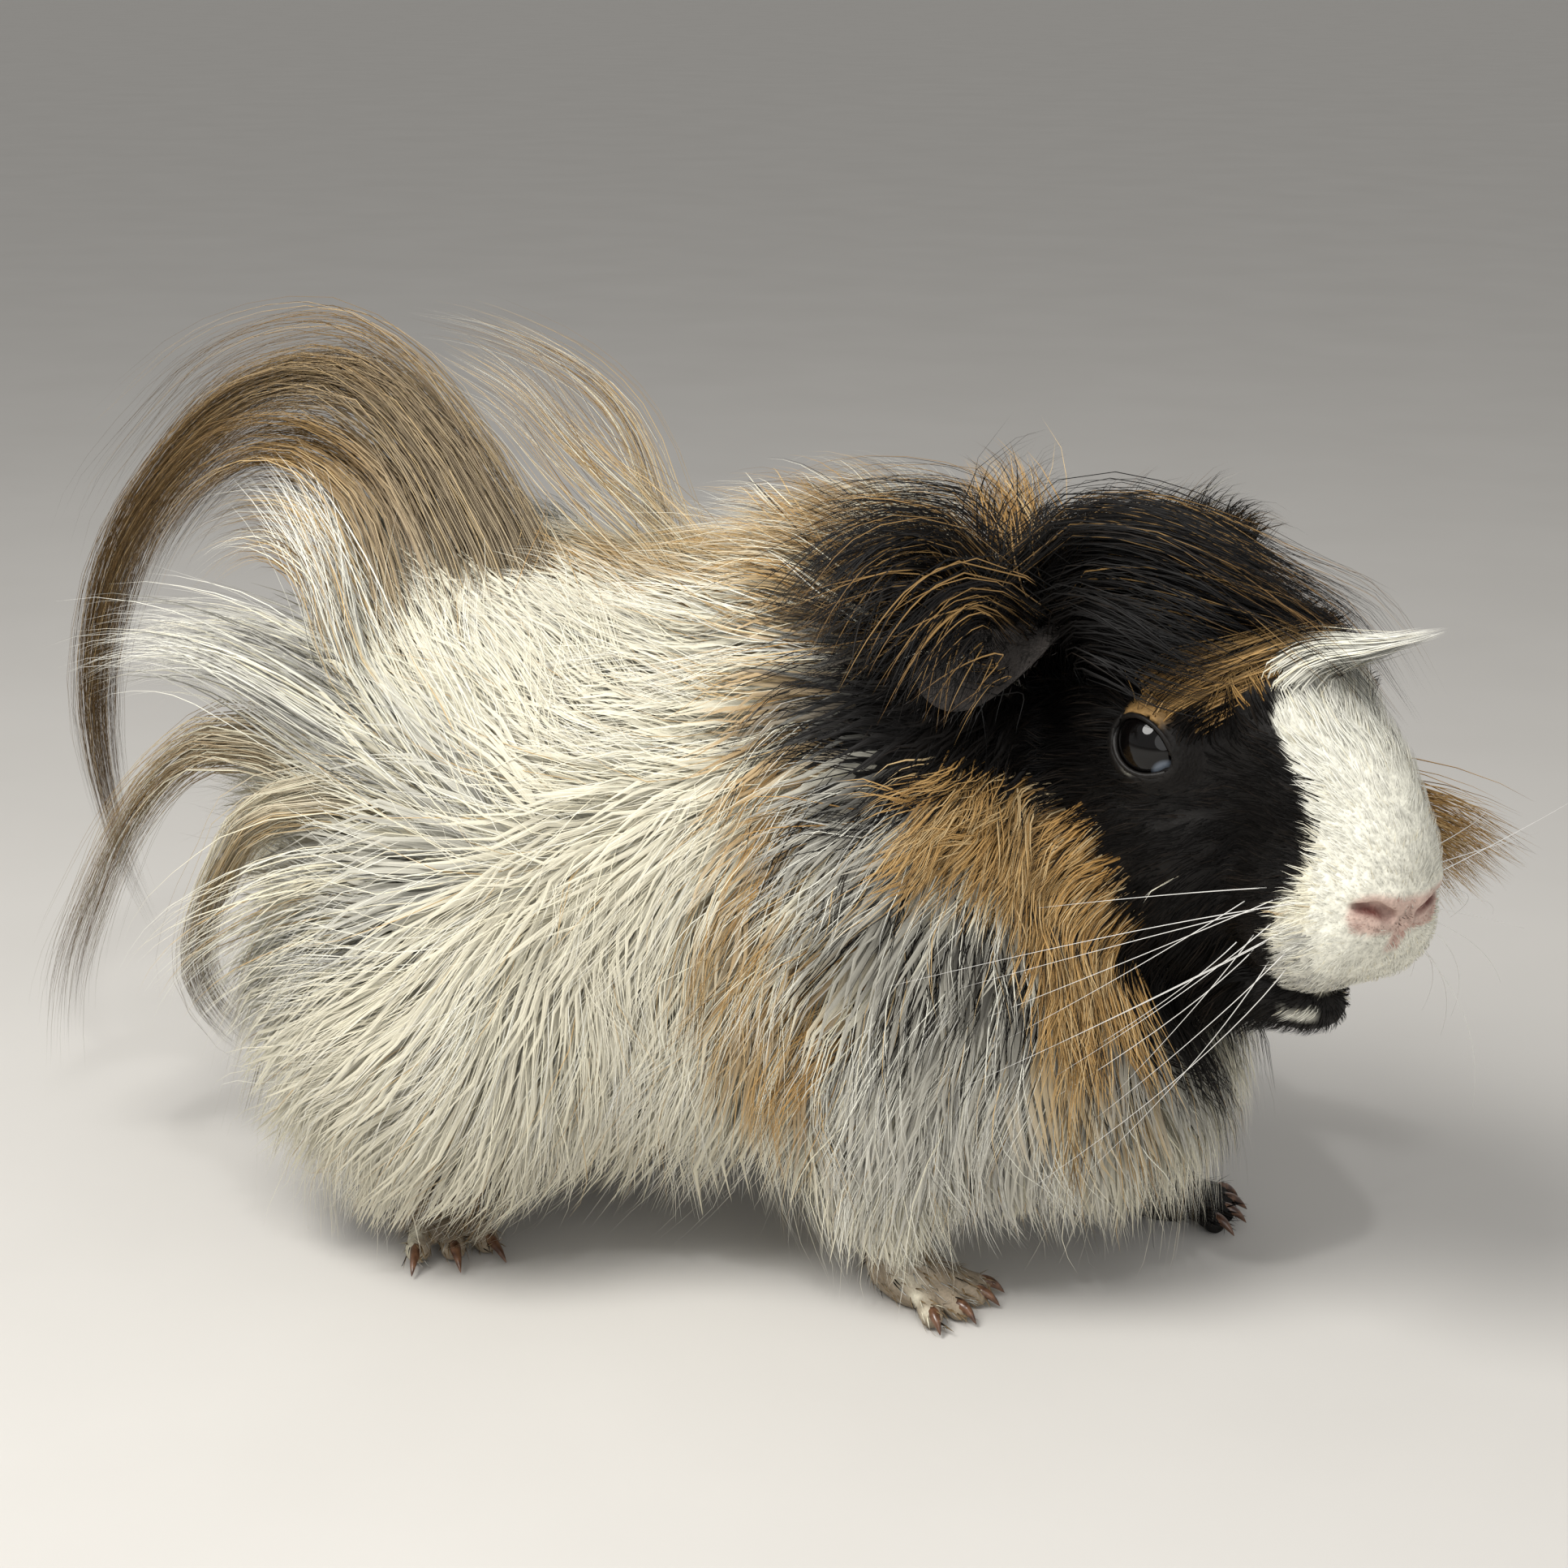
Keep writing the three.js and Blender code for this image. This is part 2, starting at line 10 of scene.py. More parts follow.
import bpy
import numpy as np
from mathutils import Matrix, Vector


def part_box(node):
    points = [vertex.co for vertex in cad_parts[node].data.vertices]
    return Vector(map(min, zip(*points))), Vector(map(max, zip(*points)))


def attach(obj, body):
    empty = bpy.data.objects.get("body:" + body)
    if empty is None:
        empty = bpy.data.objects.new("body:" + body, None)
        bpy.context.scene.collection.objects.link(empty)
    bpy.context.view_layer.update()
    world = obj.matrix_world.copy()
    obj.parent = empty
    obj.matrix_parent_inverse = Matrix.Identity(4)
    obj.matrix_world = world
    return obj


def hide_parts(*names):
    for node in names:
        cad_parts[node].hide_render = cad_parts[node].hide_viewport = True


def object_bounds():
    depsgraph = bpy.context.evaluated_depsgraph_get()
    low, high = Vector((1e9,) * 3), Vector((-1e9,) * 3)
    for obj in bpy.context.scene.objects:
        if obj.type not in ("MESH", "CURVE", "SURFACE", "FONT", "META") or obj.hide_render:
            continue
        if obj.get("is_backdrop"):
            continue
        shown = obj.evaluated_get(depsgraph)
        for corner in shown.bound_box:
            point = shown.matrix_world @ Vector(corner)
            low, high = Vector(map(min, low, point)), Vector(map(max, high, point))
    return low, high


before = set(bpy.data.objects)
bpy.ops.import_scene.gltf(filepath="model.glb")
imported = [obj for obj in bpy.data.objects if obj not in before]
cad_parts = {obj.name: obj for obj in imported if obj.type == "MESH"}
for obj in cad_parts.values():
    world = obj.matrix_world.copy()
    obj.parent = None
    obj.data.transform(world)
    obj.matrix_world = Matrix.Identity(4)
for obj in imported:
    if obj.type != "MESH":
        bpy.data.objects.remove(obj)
solid_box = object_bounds()

# A millimetre in metres.
MM = 0.001
rng = np.random.default_rng(17)

# ---------------------------------------------------------------- sizes, in millimetres

# Swellings of the body's flesh: middle and half-sizes.
BODY = [
    ((-15, 0, 72), (54, 41, 40)),  # barrel
    ((-8, 0, 44), (46, 34, 18)),  # belly
    ((-44, 0, 68), (33, 38, 42)),  # rump
    ((24, -2, 72), (32, 37, 39)),  # shoulders
    ((45, -2, 48), (26, 31, 27)),  # chest
    ((17, -3, 90), (23, 32, 33)),  # neck
    ((-47, 33, 43), (21, 17, 22)),  # left haunch
    ((-47, -33, 43), (21, 17, 22)),  # right haunch
]
# Swellings of the head, in the head's own frame: +X to the nose, +Y left, +Z to the crown.
HEAD = [
    ((-13, 0, 2), (26, 19, 20)),  # cranium
    ((7, 0, 8), (14, 13, 12.5)),  # forehead
    ((-7, 11, -15), (21, 12, 18)),  # left cheek
    ((-7, -11, -15), (21, 12, 18)),  # right cheek
    ((17.5, 0, -2), (19.5, 12, 13.3)),  # snout
    ((28, 0, -14.5), (11, 11.5, 14.2)),  # muzzle
    ((35, 0, -9), (5, 7.5, 7)),  # nose pad
    ((27, 7.5, -20), (10.5, 7.5, 9)),  # left whisker pad
    ((27, -7.5, -20), (10.5, 7.5, 9)),  # right whisker pad
    ((-2, 0, -24), (20, 15, 14)),  # throat
]
LOWER_JAW = ((17.5, 0, -34.8), (14.0, 8.3, 5.8))
HEAD_AT = np.array([78.8, -13.5, 101.0])
HEAD_YAW, HEAD_PITCH, HEAD_ROLL = np.radians([-38.0, 8.0, -3.0])

BODY_BLEND = 14
HEAD_BLEND = 7
NAPE_BLEND = 10
LIMB_BLEND = 8
JAW_BLEND = 3.5

EYE_AT = (1.5, 18, 0.5)
EYE_RADIUS = 6.0
LID_RADIUS = 7.1
EYE_HALF_WIDTH = 5.3
EYE_HALF_HEIGHT = 4.3
EYE_TILT = np.radians(-14)

SIDES = {"left": 1, "right": -1}

# Limbs: the two ends, and the radius of the flesh at each.
LIMBS = [
    ((48, 24, 46), (61, 21, 8), 11, 4.2),
    ((24, -25, 44), (27, -22, 9), 12, 5.0),
    ((-56, 28, 34), (-66, 22, 8), 12, 4.8),
    ((-56, -28, 34), (-63, -16, 8), 12, 4.8),
]
# Feet: where the wrist or heel stands, the way the foot points, how its toes spread, the
# reach to the knuckles, the palm's half-sizes, and the toe's length, radius and claw.
FORE = {"reach": 8.5, "palm": (6.0, 5.2, 4.4), "toe": 8.0, "thick": 2.3, "claw": 4.2}
HIND = {"reach": 20, "palm": (7.5, 6.0, 4.6), "toe": 8.5, "thick": 2.6, "claw": 6.5}
FEET = {
    "forepaw_left": (FORE, (61, 21), 8, (30, 10, -10, -32)),
    "forepaw_right": (FORE, (27, -22), -25, (42, 24, -4, -30)),
    "hindpaw_left": (HIND, (-66, 22), 42, (30, 8, -14)),
    "hindpaw_right": (HIND, (-63, -16), -47, (12, -8, -28)),
}
CLAW_RADIUS = 1.3

# ---------------------------------------------------------------- small helpers


def unit(vectors):
    """Each vector over its own length."""
    return vectors / np.maximum(np.linalg.norm(vectors, axis=-1, keepdims=True), 1e-9)


def dot(first, second):
    """Row-by-row scalar product, kept as a column."""
    return np.sum(first * second, axis=-1, keepdims=True)


def smooth(low, high, values):
    """3 t^2 - 2 t^3, where t runs from 0 at low to 1 at high."""
    share = np.clip((values - low) / (high - low), 0, 1)
    return share * share * (3 - 2 * share)


def turned(yaw, pitch, roll):
    """The rotation matrix Rz(yaw) Ry(pitch) Rx(roll)."""
    (sy, sp, sr), (cy, cp, cr) = np.sin([yaw, pitch, roll]), np.cos([yaw, pitch, roll])
    about_up = np.array([[cy, -sy, 0], [sy, cy, 0], [0, 0, 1]])
    about_side = np.array([[cp, 0, sp], [0, 1, 0], [-sp, 0, cp]])
    about_front = np.array([[1, 0, 0], [0, cr, -sr], [0, sr, cr]])
    return about_up @ about_side @ about_front


HEAD_TURN = turned(HEAD_YAW, HEAD_PITCH, HEAD_ROLL)


def to_head(points):
    """Points of the animal's frame, seen in the head's frame."""
    return (np.asarray(points, float) - HEAD_AT) @ HEAD_TURN


def from_head(points):
    """Points of the head's frame, seen in the animal's frame."""
    return np.asarray(points, float) @ HEAD_TURN.T + HEAD_AT


def mirrored(place, side):
    """A place given for the left, on that side."""
    return (place[0], side * place[1], place[2])


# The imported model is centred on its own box, so the eye shows how far it was moved.
eye_box = np.array(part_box("eye_right"))
SHIFT = eye_box.mean(axis=0) / MM - from_head(mirrored(EYE_AT, -1))


def waver(points, wave, seed):
    """A soft wandering vector at each point: sums of sines along twelve seeded directions."""
    source = np.random.default_rng(seed)
    total = np.zeros(points.shape)
    for _ in range(12):
        direction = unit(source.normal(size=3)) * 2 * np.pi / (wave * source.uniform(0.7, 1.5))
        push = unit(source.normal(size=3))
        total += np.sin(points @ direction + source.uniform(0, 6.28))[..., None] * push
    return total / 2.5


# ---------------------------------------------------------------- the distance field


def ellipsoid(points, middle, half):
    """k0 (k0 - 1) / k1, with k0 = |p / half| and k1 = |p / half^2|."""
    offset = points - np.asarray(middle, float)
    half = np.asarray(half, float)
    near = np.linalg.norm(offset / half, axis=-1)
    steep = np.linalg.norm(offset / half**2, axis=-1)
    return near * (near - 1) / np.maximum(steep, 1e-9)


def capsule(points, start, end, start_radius, end_radius=None):
    """Distance to a segment, less a radius that runs evenly from end to end."""
    start = np.asarray(start, float)
    along = np.asarray(end, float) - start
    end_radius = start_radius if end_radius is None else end_radius
    share = np.clip(((points - start) @ along) / (along @ along), 0, 1)
    gap = np.linalg.norm(points - start - share[..., None] * along, axis=-1)
    return gap - (start_radius + (end_radius - start_radius) * share)


def melted(first, second, blend):
    """Smooth minimum: min(a, b) - blend h^2 / 4, with h = max(blend - |a - b|, 0) / blend."""
    overlap = np.maximum(blend - np.abs(first - second), 0) / blend
    return np.minimum(first, second) - overlap * overlap * blend / 4


def carved(field, tool, blend):
    """What is left of the field when the tool is cut out of it, with a rounded edge."""
    return -melted(-field, tool, blend)


def swollen(points, swellings, blend):
    """Every swelling of a list melted into one."""
    total = ellipsoid(points, *swellings[0])
    for swelling in swellings[1:]:
        total = melted(total, ellipsoid(points, *swelling), blend)
    return total


def flesh(points):
    """The animal without the small forms of its face and feet."""
    total = swollen(points, BODY, BODY_BLEND)
    for limb in LIMBS:
        total = melted(total, capsule(points, *limb), LIMB_BLEND)
    head_points = to_head(points)
    head = swollen(head_points, HEAD, HEAD_BLEND)
    head = melted(head, ellipsoid(head_points, *LOWER_JAW), JAW_BLEND)
    return melted(total, head, NAPE_BLEND)


def eye_axes(side):
    """The eye's outward, forward and upward directions in the head's frame."""
    outward = unit(np.array([0.22, side * 1.0, 0.10]))
    forward = unit(np.cross(outward, (0, 0, 1)) * side)
    upward = np.cross(forward, outward) * side
    ahead = forward * np.cos(EYE_TILT) + upward * np.sin(EYE_TILT)
    above = upward * np.cos(EYE_TILT) - forward * np.sin(EYE_TILT)
    return outward, ahead, above


def eye_reach(points, side):
    """How far out of the eye's almond a place is: 1 on its edge, above 9 behind the eye."""
    offset = points - np.array(mirrored(EYE_AT, side))
    outward, ahead, above = eye_axes(side)
    reach = np.hypot(offset @ ahead / EYE_HALF_WIDTH, offset @ above / EYE_HALF_HEIGHT)
    return np.where(offset @ outward > 0, reach, 9 + reach)


def with_lids(points, field):
    """A thin round lid over each eyeball, opened by an almond-shaped cone."""
    for side in SIDES.values():
        gap = np.linalg.norm(points - np.array(mirrored(EYE_AT, side)), axis=-1)
        opening = (eye_reach(points, side) - 1) * EYE_HALF_HEIGHT
        field = melted(field, gap - LID_RADIUS, 5)
        field = np.maximum(field, EYE_RADIUS + 0.1 - gap)
        field = carved(field, np.maximum(opening, gap - 12), 0.8)
    return field


def nostril(points, side):
    """Distance to one comma-shaped nostril."""
    inner = (40.1, side * 3.2, -13.4)
    middle = (39.5, side * 5.8, -12.0)
    outer = (37.8, side * 8.2, -12.3)
    return np.minimum(capsule(points, inner, middle, 1.0), capsule(points, middle, outer, 1.0, 0.6))


def mouth_line(points, side):
    """Distance to one half of the mouth's crease, from under the nose to the corner."""
    middle = (36.2, 0, -29.2)
    bend = (33.0, side * 6.0, -30.8)
    corner = (28.0, side * 9.2, -33.8)
    return np.minimum(capsule(points, middle, bend, 0.8), capsule(points, bend, corner, 0.8, 0.6))


def with_nose_and_mouth(points, field):
    """The nostrils under their soft rims, the cleft below them, and the line of the mouth."""
    for side in SIDES.values():
        rim = capsule(points, (39.2, side * 2.0, -10.6), (37.2, side * 7.4, -9.8), 1.3)
        field = melted(field, rim, 2.5)
        field = carved(field, nostril(points, side), 0.8)
        field = carved(field, mouth_line(points, side), 1.0)
    cleft = capsule(points, (41.2, 0, -14.5), (38.2, 0, -28), 0.5)
    return carved(field, cleft, 1.4)


def foot_parts(name):
    """(palm middle, [(knuckle, toe tip, claw tip, yaw)]) of a foot, from its place and spread."""
    form, root, yaw, spread = FEET[name]
    yaw = np.radians(yaw)

    def ahead(start, angle, reach, height):
        """A place that lies the reach away along the floor, at its own height."""
        return np.array([start[0] + reach * np.cos(angle), start[1] + reach * np.sin(angle), height])

    palm = ahead(root, yaw, form["reach"] * 0.55, form["palm"][2])
    toes = []
    for turn in np.radians(spread):
        knuckle = ahead(root, yaw + 0.6 * turn, form["reach"] * 0.75, form["thick"] + 1)
        tip = ahead(knuckle, yaw + turn, form["toe"], form["thick"] - 0.2)
        point = ahead(tip, yaw + turn, form["claw"], 0.8)
        toes.append((knuckle, tip, point, yaw + turn))
    return palm, toes


def with_feet(points, field):
    """Palms and toes, each toe arched at its middle and flat on the floor."""
    for name, (form, root, yaw, _) in FEET.items():
        palm, toes = foot_parts(name)
        near = np.linalg.norm(points - palm, axis=-1) < 40
        spots = points[near]
        upright = turned(np.radians(yaw), 0, 0)
        foot = ellipsoid((spots - palm) @ upright, (0, 0, 0), form["palm"])
        heel = (root[0], root[1], 5.0)
        foot = melted(foot, capsule(spots, heel, palm - (0, 0, 0.6), 4.6, 3.6), 4)
        for knuckle, tip, _, _ in toes:
            arch = (knuckle + tip) / 2 + (0, 0, form["thick"] * 0.35)
            toe = capsule(spots, knuckle, arch, form["thick"] * 0.95, form["thick"] * 0.8)
            toe = melted(toe, capsule(spots, arch, tip, form["thick"] * 0.8, form["thick"] * 0.85), 1)
            foot = melted(foot, toe, 1.3)
        whole = field.copy()
        whole[near] = np.maximum(melted(field[near], foot, 3), -spots[:, 2])
        field = whole
    return field


def skin_field(points):
    """The whole skin: flesh, feet, lids, nostrils and mouth."""
    field = with_feet(points, flesh(points))
    near = np.linalg.norm(points - HEAD_AT, axis=-1) < 62
    head_points = to_head(points[near])
    field[near] = with_nose_and_mouth(head_points, with_lids(head_points, field[near]))
    return field


# ---------------------------------------------------------------- the skin as a mesh


def in_slabs(field, points, slab=400000):
    """The field at very many points, a slab at a time."""
    return np.concatenate([field(points[start:start + slab]) for start in range(0, len(points), slab)])


def stretches(*ends_and_steps):
    """A rising axis whose step changes: start, then (end, step) for each stretch."""
    start, *rest = ends_and_steps
    pieces = []
    for end, step in rest:
        count = int(round((end - start) / step))
        pieces.append(np.linspace(start, end, count, endpoint=False))
        start = end
    return np.concatenate([*pieces, [start]])


def surface_net(values, axes):
    """The zero level of a grid of values.

    Each cell that the surface crosses has one vertex, at the mean of its edge crossings, and
    each grid edge with its ends on either side has one quad through its four cells.
    """
    cells = np.array(values.shape) - 1
    inside = values < 0
    quads, crossings, owners = [], [], []
    for axis in range(3):
        low = [slice(None)] * 3
        high = [slice(None)] * 3
        low[axis], high[axis] = slice(0, -1), slice(1, None)
        edge = np.argwhere(inside[tuple(low)] != inside[tuple(high)])
        far = edge.copy()
        far[:, axis] += 1
        first, second = values[tuple(edge.T)], values[tuple(far.T)]
        share = first / (first - second)
        place = np.stack([axes[way][edge[:, way]] for way in range(3)], axis=1)
        place[:, axis] += share * (axes[axis][far[:, axis]] - axes[axis][edge[:, axis]])
        across, over = (axis + 1) % 3, (axis + 2) % 3
        around = np.repeat(edge[:, None], 4, axis=1)
        around[:, 1, across] -= 1
        around[:, 2, across] -= 1
        around[:, 2, over] -= 1
        around[:, 3, over] -= 1
        ids = (around[..., 0] * cells[1] + around[..., 1]) * cells[2] + around[..., 2]
        quads.append(np.where((first < 0)[:, None], ids, ids[:, ::-1]))
        crossings.append(np.repeat(place, 4, axis=0))
        owners.append(ids.ravel())
    names, owner = np.unique(np.concatenate(owners), return_inverse=True)
    total = np.zeros((len(names), 3))
    np.add.at(total, owner, np.concatenate(crossings))
    vertices = total / np.bincount(owner)[:, None]
    faces = np.searchsorted(names, np.concatenate(quads))
    return vertices, faces


def slope_of(field, points, step=0.15):
    """Central differences of the field, as unit vectors."""
    parts = []
    for axis in np.eye(3) * step:
        parts.append(field(points + axis) - field(points - axis))
    return unit(np.stack(parts, axis=-1))


def skin_surface():
    """Vertices and quads of the skin, finest over the face and feet."""
    axes = [
        stretches(-86, (-32, 1.5), (14, 3.0), (58, 1.5), (118, 0.72)),
        stretches(-56, (22, 0.85), (56, 2.0)),
        stretches(-1.4, (12, 0.9), (64, 3.0), (130, 0.74)),
    ]
    shape = tuple(len(axis) for axis in axes)
    grid = np.stack(np.meshgrid(*axes, indexing="ij"), axis=-1).reshape(-1, 3)
    values = in_slabs(flesh, grid)
    close = (np.abs(values) < 9) | (grid[:, 2] < 14)
    values[close] = in_slabs(skin_field, grid[close])
    vertices, faces = surface_net(values.reshape(shape), axes)
    for _ in range(2):
        away = skin_field(vertices)[:, None]
        vertices = vertices - slope_of(skin_field, vertices) * np.clip(away, -0.5, 0.5)
    vertices[:, 2] = np.maximum(vertices[:, 2], 0.02)
    return vertices, faces


class Ground:
    """Distance and slope of the flesh, read from a grid of 2 mm cells."""

    LOW = np.array([-112.0, -84.0, -6.0])
    HIGH = np.array([140.0, 84.0, 166.0])
    CELL = 2.0

    def __init__(self):
        counts = ((self.HIGH - self.LOW) / self.CELL).astype(int) + 1
        axes = [low + self.CELL * np.arange(count) for low, count in zip(self.LOW, counts)]
        grid = np.stack(np.meshgrid(*axes, indexing="ij"), axis=-1)
        values = in_slabs(flesh, grid.reshape(-1, 3)).reshape(tuple(counts))
        slopes = np.stack(np.gradient(values, self.CELL), axis=-1)
        self.table = np.concatenate([values[..., None], slopes], axis=-1).astype(np.float32)
        self.top = counts - 1.001

    def read(self, points):
        """Distance as a column, and the outward slope, by weights of the eight corners."""
        place = np.clip((points - self.LOW) / self.CELL, 0, self.top)
        cell = place.astype(int)
        share = place - cell
        total = 0
        for corner in np.ndindex(2, 2, 2):
            weight = np.prod(np.where(corner, share, 1 - share), axis=-1, keepdims=True)
            index = cell + corner
            total = total + weight * self.table[index[..., 0], index[..., 1], index[..., 2]]
        return total[..., :1], unit(total[..., 1:])


ground = Ground()
skin_points, skin_quads = skin_surface()

# ---------------------------------------------------------------- the lie of the coat

# Each row tells how the coat grows near a place: the place, the way the hair lies, its length,
# how many degrees it lifts, and how deep the coat is there. Rows are given for the left side
# and hold for the right side too.
BODY_COMB = [
    ((-11, 15, 116), (-1.0, 0.0, 0.25), 26, 22, 10),  # back
    ((-28, 6, 116), (-1.0, 0.0, 0.75), 36, 32, 13),  # back, behind
    ((-25, 34, 104), (-0.75, -0.3, 0.7), 34, 26, 12),  # upper flank
    ((-37, 42, 94), (-0.5, -0.3, 0.85), 36, 26, 13),  # rising flank
    ((-6, 40, 100), (-0.9, 0.0, 0.3), 26, 22, 10),  # upper flank, in front
    ((-57, 24, 102), (-0.5, -0.1, 0.9), 42, 34, 18),  # top of the rump
    ((-57, 42, 84), (-1.0, -0.3, 0.30), 42, 30, 17),  # side of the rump
    ((-72, 18, 80), (-1.0, 0.0, 0.0), 38, 32, 20),  # back of the rump
    ((-62, 46, 56), (-0.95, -0.2, -0.45), 42, 28, 19),  # below the rump
    ((-41, 52, 57), (-0.9, 0.0, -0.5), 34, 22, 12),  # haunch
    ((-44, 52, 35), (-0.6, -0.1, -0.8), 32, 22, 11),  # thigh
    ((-66, 24, 42), (-0.9, 0.0, -0.55), 34, 30, 18),  # seat
    ((-10, 48, 79), (-0.5, 0.0, -0.8), 30, 22, 12),  # flank
    ((-8, 48, 58), (-0.45, 0.0, -0.88), 32, 22, 12),  # lower flank
    ((-9, 40, 34), (-0.35, 0.0, -0.95), 34, 20, 9),  # edge of the belly
    ((-8, 14, 26), (-0.3, 0.0, -0.95), 20, 24, 7),  # belly
    ((9, 16, 122), (-0.7, 0.1, 0.7), 25, 50, 14),  # crest of the collar
    ((11, 36, 112), (-0.6, 0.1, -0.25), 24, 30, 12),  # top of the collar
    ((12, 44, 98), (-0.35, 0.0, -0.9), 26, 26, 12),  # collar
    ((12, 48, 82), (-0.3, 0.0, -0.95), 28, 22, 12),  # middle of the collar
    ((12, 48, 60), (-0.3, 0.0, -0.95), 32, 20, 12),  # foot of the collar
    ((27, 42, 97), (-1.0, 0.0, -0.22), 22, 20, 9),  # top of the shoulder
    ((27, 47, 80), (-0.7, 0.0, -0.7), 27, 22, 11),  # shoulder
    ((36, 46, 62), (-0.4, 0.0, -0.9), 30, 20, 11),  # front of the shoulder
    ((50, 41, 62), (-0.25, 0.0, -0.95), 28, 20, 10),  # upper arm
    ((38, 44, 42), (-0.15, 0.0, -1.0), 30, 20, 10),  # arm
    ((20, 44, 40), (-0.2, 0.0, -1.0), 32, 20, 10),  # behind the arm
    ((58, 35, 42), (0.25, 0.0, -0.97), 28, 24, 12),  # side of the chest
    ((70, 12, 44), (0.6, 0.0, -0.8), 30, 40, 18),  # chest
    ((50, 10, 24), (0.3, 0.0, -0.95), 24, 28, 11),  # under the chest
    ((25, 28, 112), (-0.9, 0.2, 0.05), 22, 26, 9),  # side of the nape
    ((29, 37, 103), (-1.0, 0.1, -0.1), 18, 18, 6),  # behind the ear
    ((36, 36, 92), (-0.85, 0.1, -0.6), 13, 24, 6),  # top of the ruff
    ((46, 32, 80), (-0.6, 0.0, -0.85), 12, 24, 6),  # ruff
    ((57, 28, 62), (-0.3, 0.0, -0.95), 13, 24, 6),  # side of the throat
    ((66, 6, 58), (0.4, 0.0, -0.9), 24, 34, 13),  # throat
    ((26, 22, 20), (0.1, 0.0, -1.0), 9, 14, 3),  # foreleg
    ((58, 22, 20), (0.2, 0.0, -1.0), 8, 14, 2.5),  # foreleg
    ((-60, 22, 20), (-0.4, 0.0, -1.0), 14, 20, 5),  # shank
]
HEAD_COMB = [
    ((37, 0, -4), (-1.0, 0.0, 0.6), 2.6, 18, 0.8),  # bridge of the nose
    ((40, 4, -12), (-0.2, 0.6, 0.5), 0.8, 14, 0.25),  # nose
    ((38, 3, -20), (-0.3, 0.7, -0.7), 1.2, 18, 0.45),  # upper lip, in front
    ((31, 10, -25), (-0.7, 0.5, -0.6), 2.2, 18, 0.8),  # upper lip
    ((28, 14, -17), (-1.0, 0.2, -0.4), 4.8, 22, 1.6),  # whisker pad
    ((24, 12, -4), (-1.0, 0.15, 0.15), 5.6, 20, 1.9),  # side of the snout
    ((22, 0, 9), (-1.0, 0.0, 0.4), 6.0, 22, 2.0),  # top of the snout
    ((13, 0, 19), (-0.6, 0.0, 0.6), 6.0, 18, 2.2),  # forehead
    ((12, 10, 15), (-0.4, 0.1, 0.7), 6.0, 18, 2.2),  # side of the forehead
    ((4, 18, 11), (0.7, -0.1, 0.75), 7.5, 26, 3.0),  # brow
    ((3, 19, -8), (-0.9, 0.0, -0.5), 5.0, 18, 2.0),  # under the eye
    ((-8, 20, 0), (-1.0, 0.1, -0.2), 6.5, 20, 3.0),  # behind the eye
    ((12, 17, -12), (-0.9, 0.1, -0.4), 5.0, 18, 2.0),  # before the cheek
    ((11, 17, -24), (-0.7, 0.1, -0.7), 6.5, 22, 2.6),  # front of the cheek
    ((0, 23, -18), (-0.8, 0.0, -0.6), 8.0, 22, 4.0),  # cheek
    ((-12, 23, -18), (-0.8, 0.0, -0.7), 11, 26, 5.5),  # back of the cheek
    ((-4, 18, -34), (-0.4, 0.0, -0.9), 13, 28, 7),  # below the cheek
    ((12, 12, -34), (-0.4, 0.1, -0.9), 10, 30, 5.0),  # side of the jaw
    ((28, 0, -40), (-0.6, 0.0, -0.8), 3.2, 18, 1.6),  # chin
    ((31, 5, -34), (-0.8, 0.3, -0.5), 1.8, 14, 0.6),  # lower lip
    ((12, 0, -39), (-0.4, 0.0, -0.95), 14, 34, 7),  # under the jaw
    ((-10, 18, 12), (-1.0, 0.1, -0.1), 11, 26, 5),  # temple
    ((-4, 6, 22), (0.95, 0.1, 0.0), 11, 10, 2.5),  # crown
    ((-20, 4, 22), (0.3, 0.0, 0.9), 20, 36, 9),  # poll
]
# How far a row's say reaches, on the body and on the head.
BODY_REACH = 11.0
HEAD_REACH = 5.0
BODY_MIDDLE = np.array([-8.0, -1.0, 68.0])
POLL_AT = (44, -20, 118)
# Rosettes: the places that the coat swirls away from, how far they reach and how strongly.
WHORLS = [
    ((45, -19, 120), 15, 2.6),  # poll
    ((-34, -50, 77), 15, 1.3),  # right hip
    ((-21, -51, 62), 12, 1.2),  # right flank
    ((-3, -47, 92), 9, 1.2),  # right side of the back
    ((-28, 49, 79), 15, 1.3),  # left hip
    ((4, 48, 66), 11, 1.2),  # left flank
]


def combed_rows():
    """Every row of the two tables in the animal's frame, for both sides."""
    rows = []
    for side in SIDES.values():
        for place, lie, *rest in BODY_COMB:
            rows.append((np.array(mirrored(place, side)), mirrored(lie, side), *rest, BODY_REACH))
        for place, lie, *rest in HEAD_COMB:
            lie_there = HEAD_TURN @ np.array(mirrored(lie, side))
            rows.append((from_head(mirrored(place, side)), lie_there, *rest, HEAD_REACH))
    places = np.array([row[0] for row in rows], float)
    lies = unit(np.array([row[1] for row in rows], float))
    numbers = np.array([row[2:] for row in rows], float)
    return places, lies, numbers


COMB_PLACES, COMB_LIES, COMB_NUMBERS = combed_rows()


# What every row weighs at least, so that places far from all of them have a coat too.
FAR_WEIGHT = 1e-7
# How much of a rosette's swirl goes round it, against the way out of it.
SWIRL_ROUND = 0.5
# How far the lie wanders, and the length of its waves.
WANDER = 0.12
WANDER_WAVE = 22


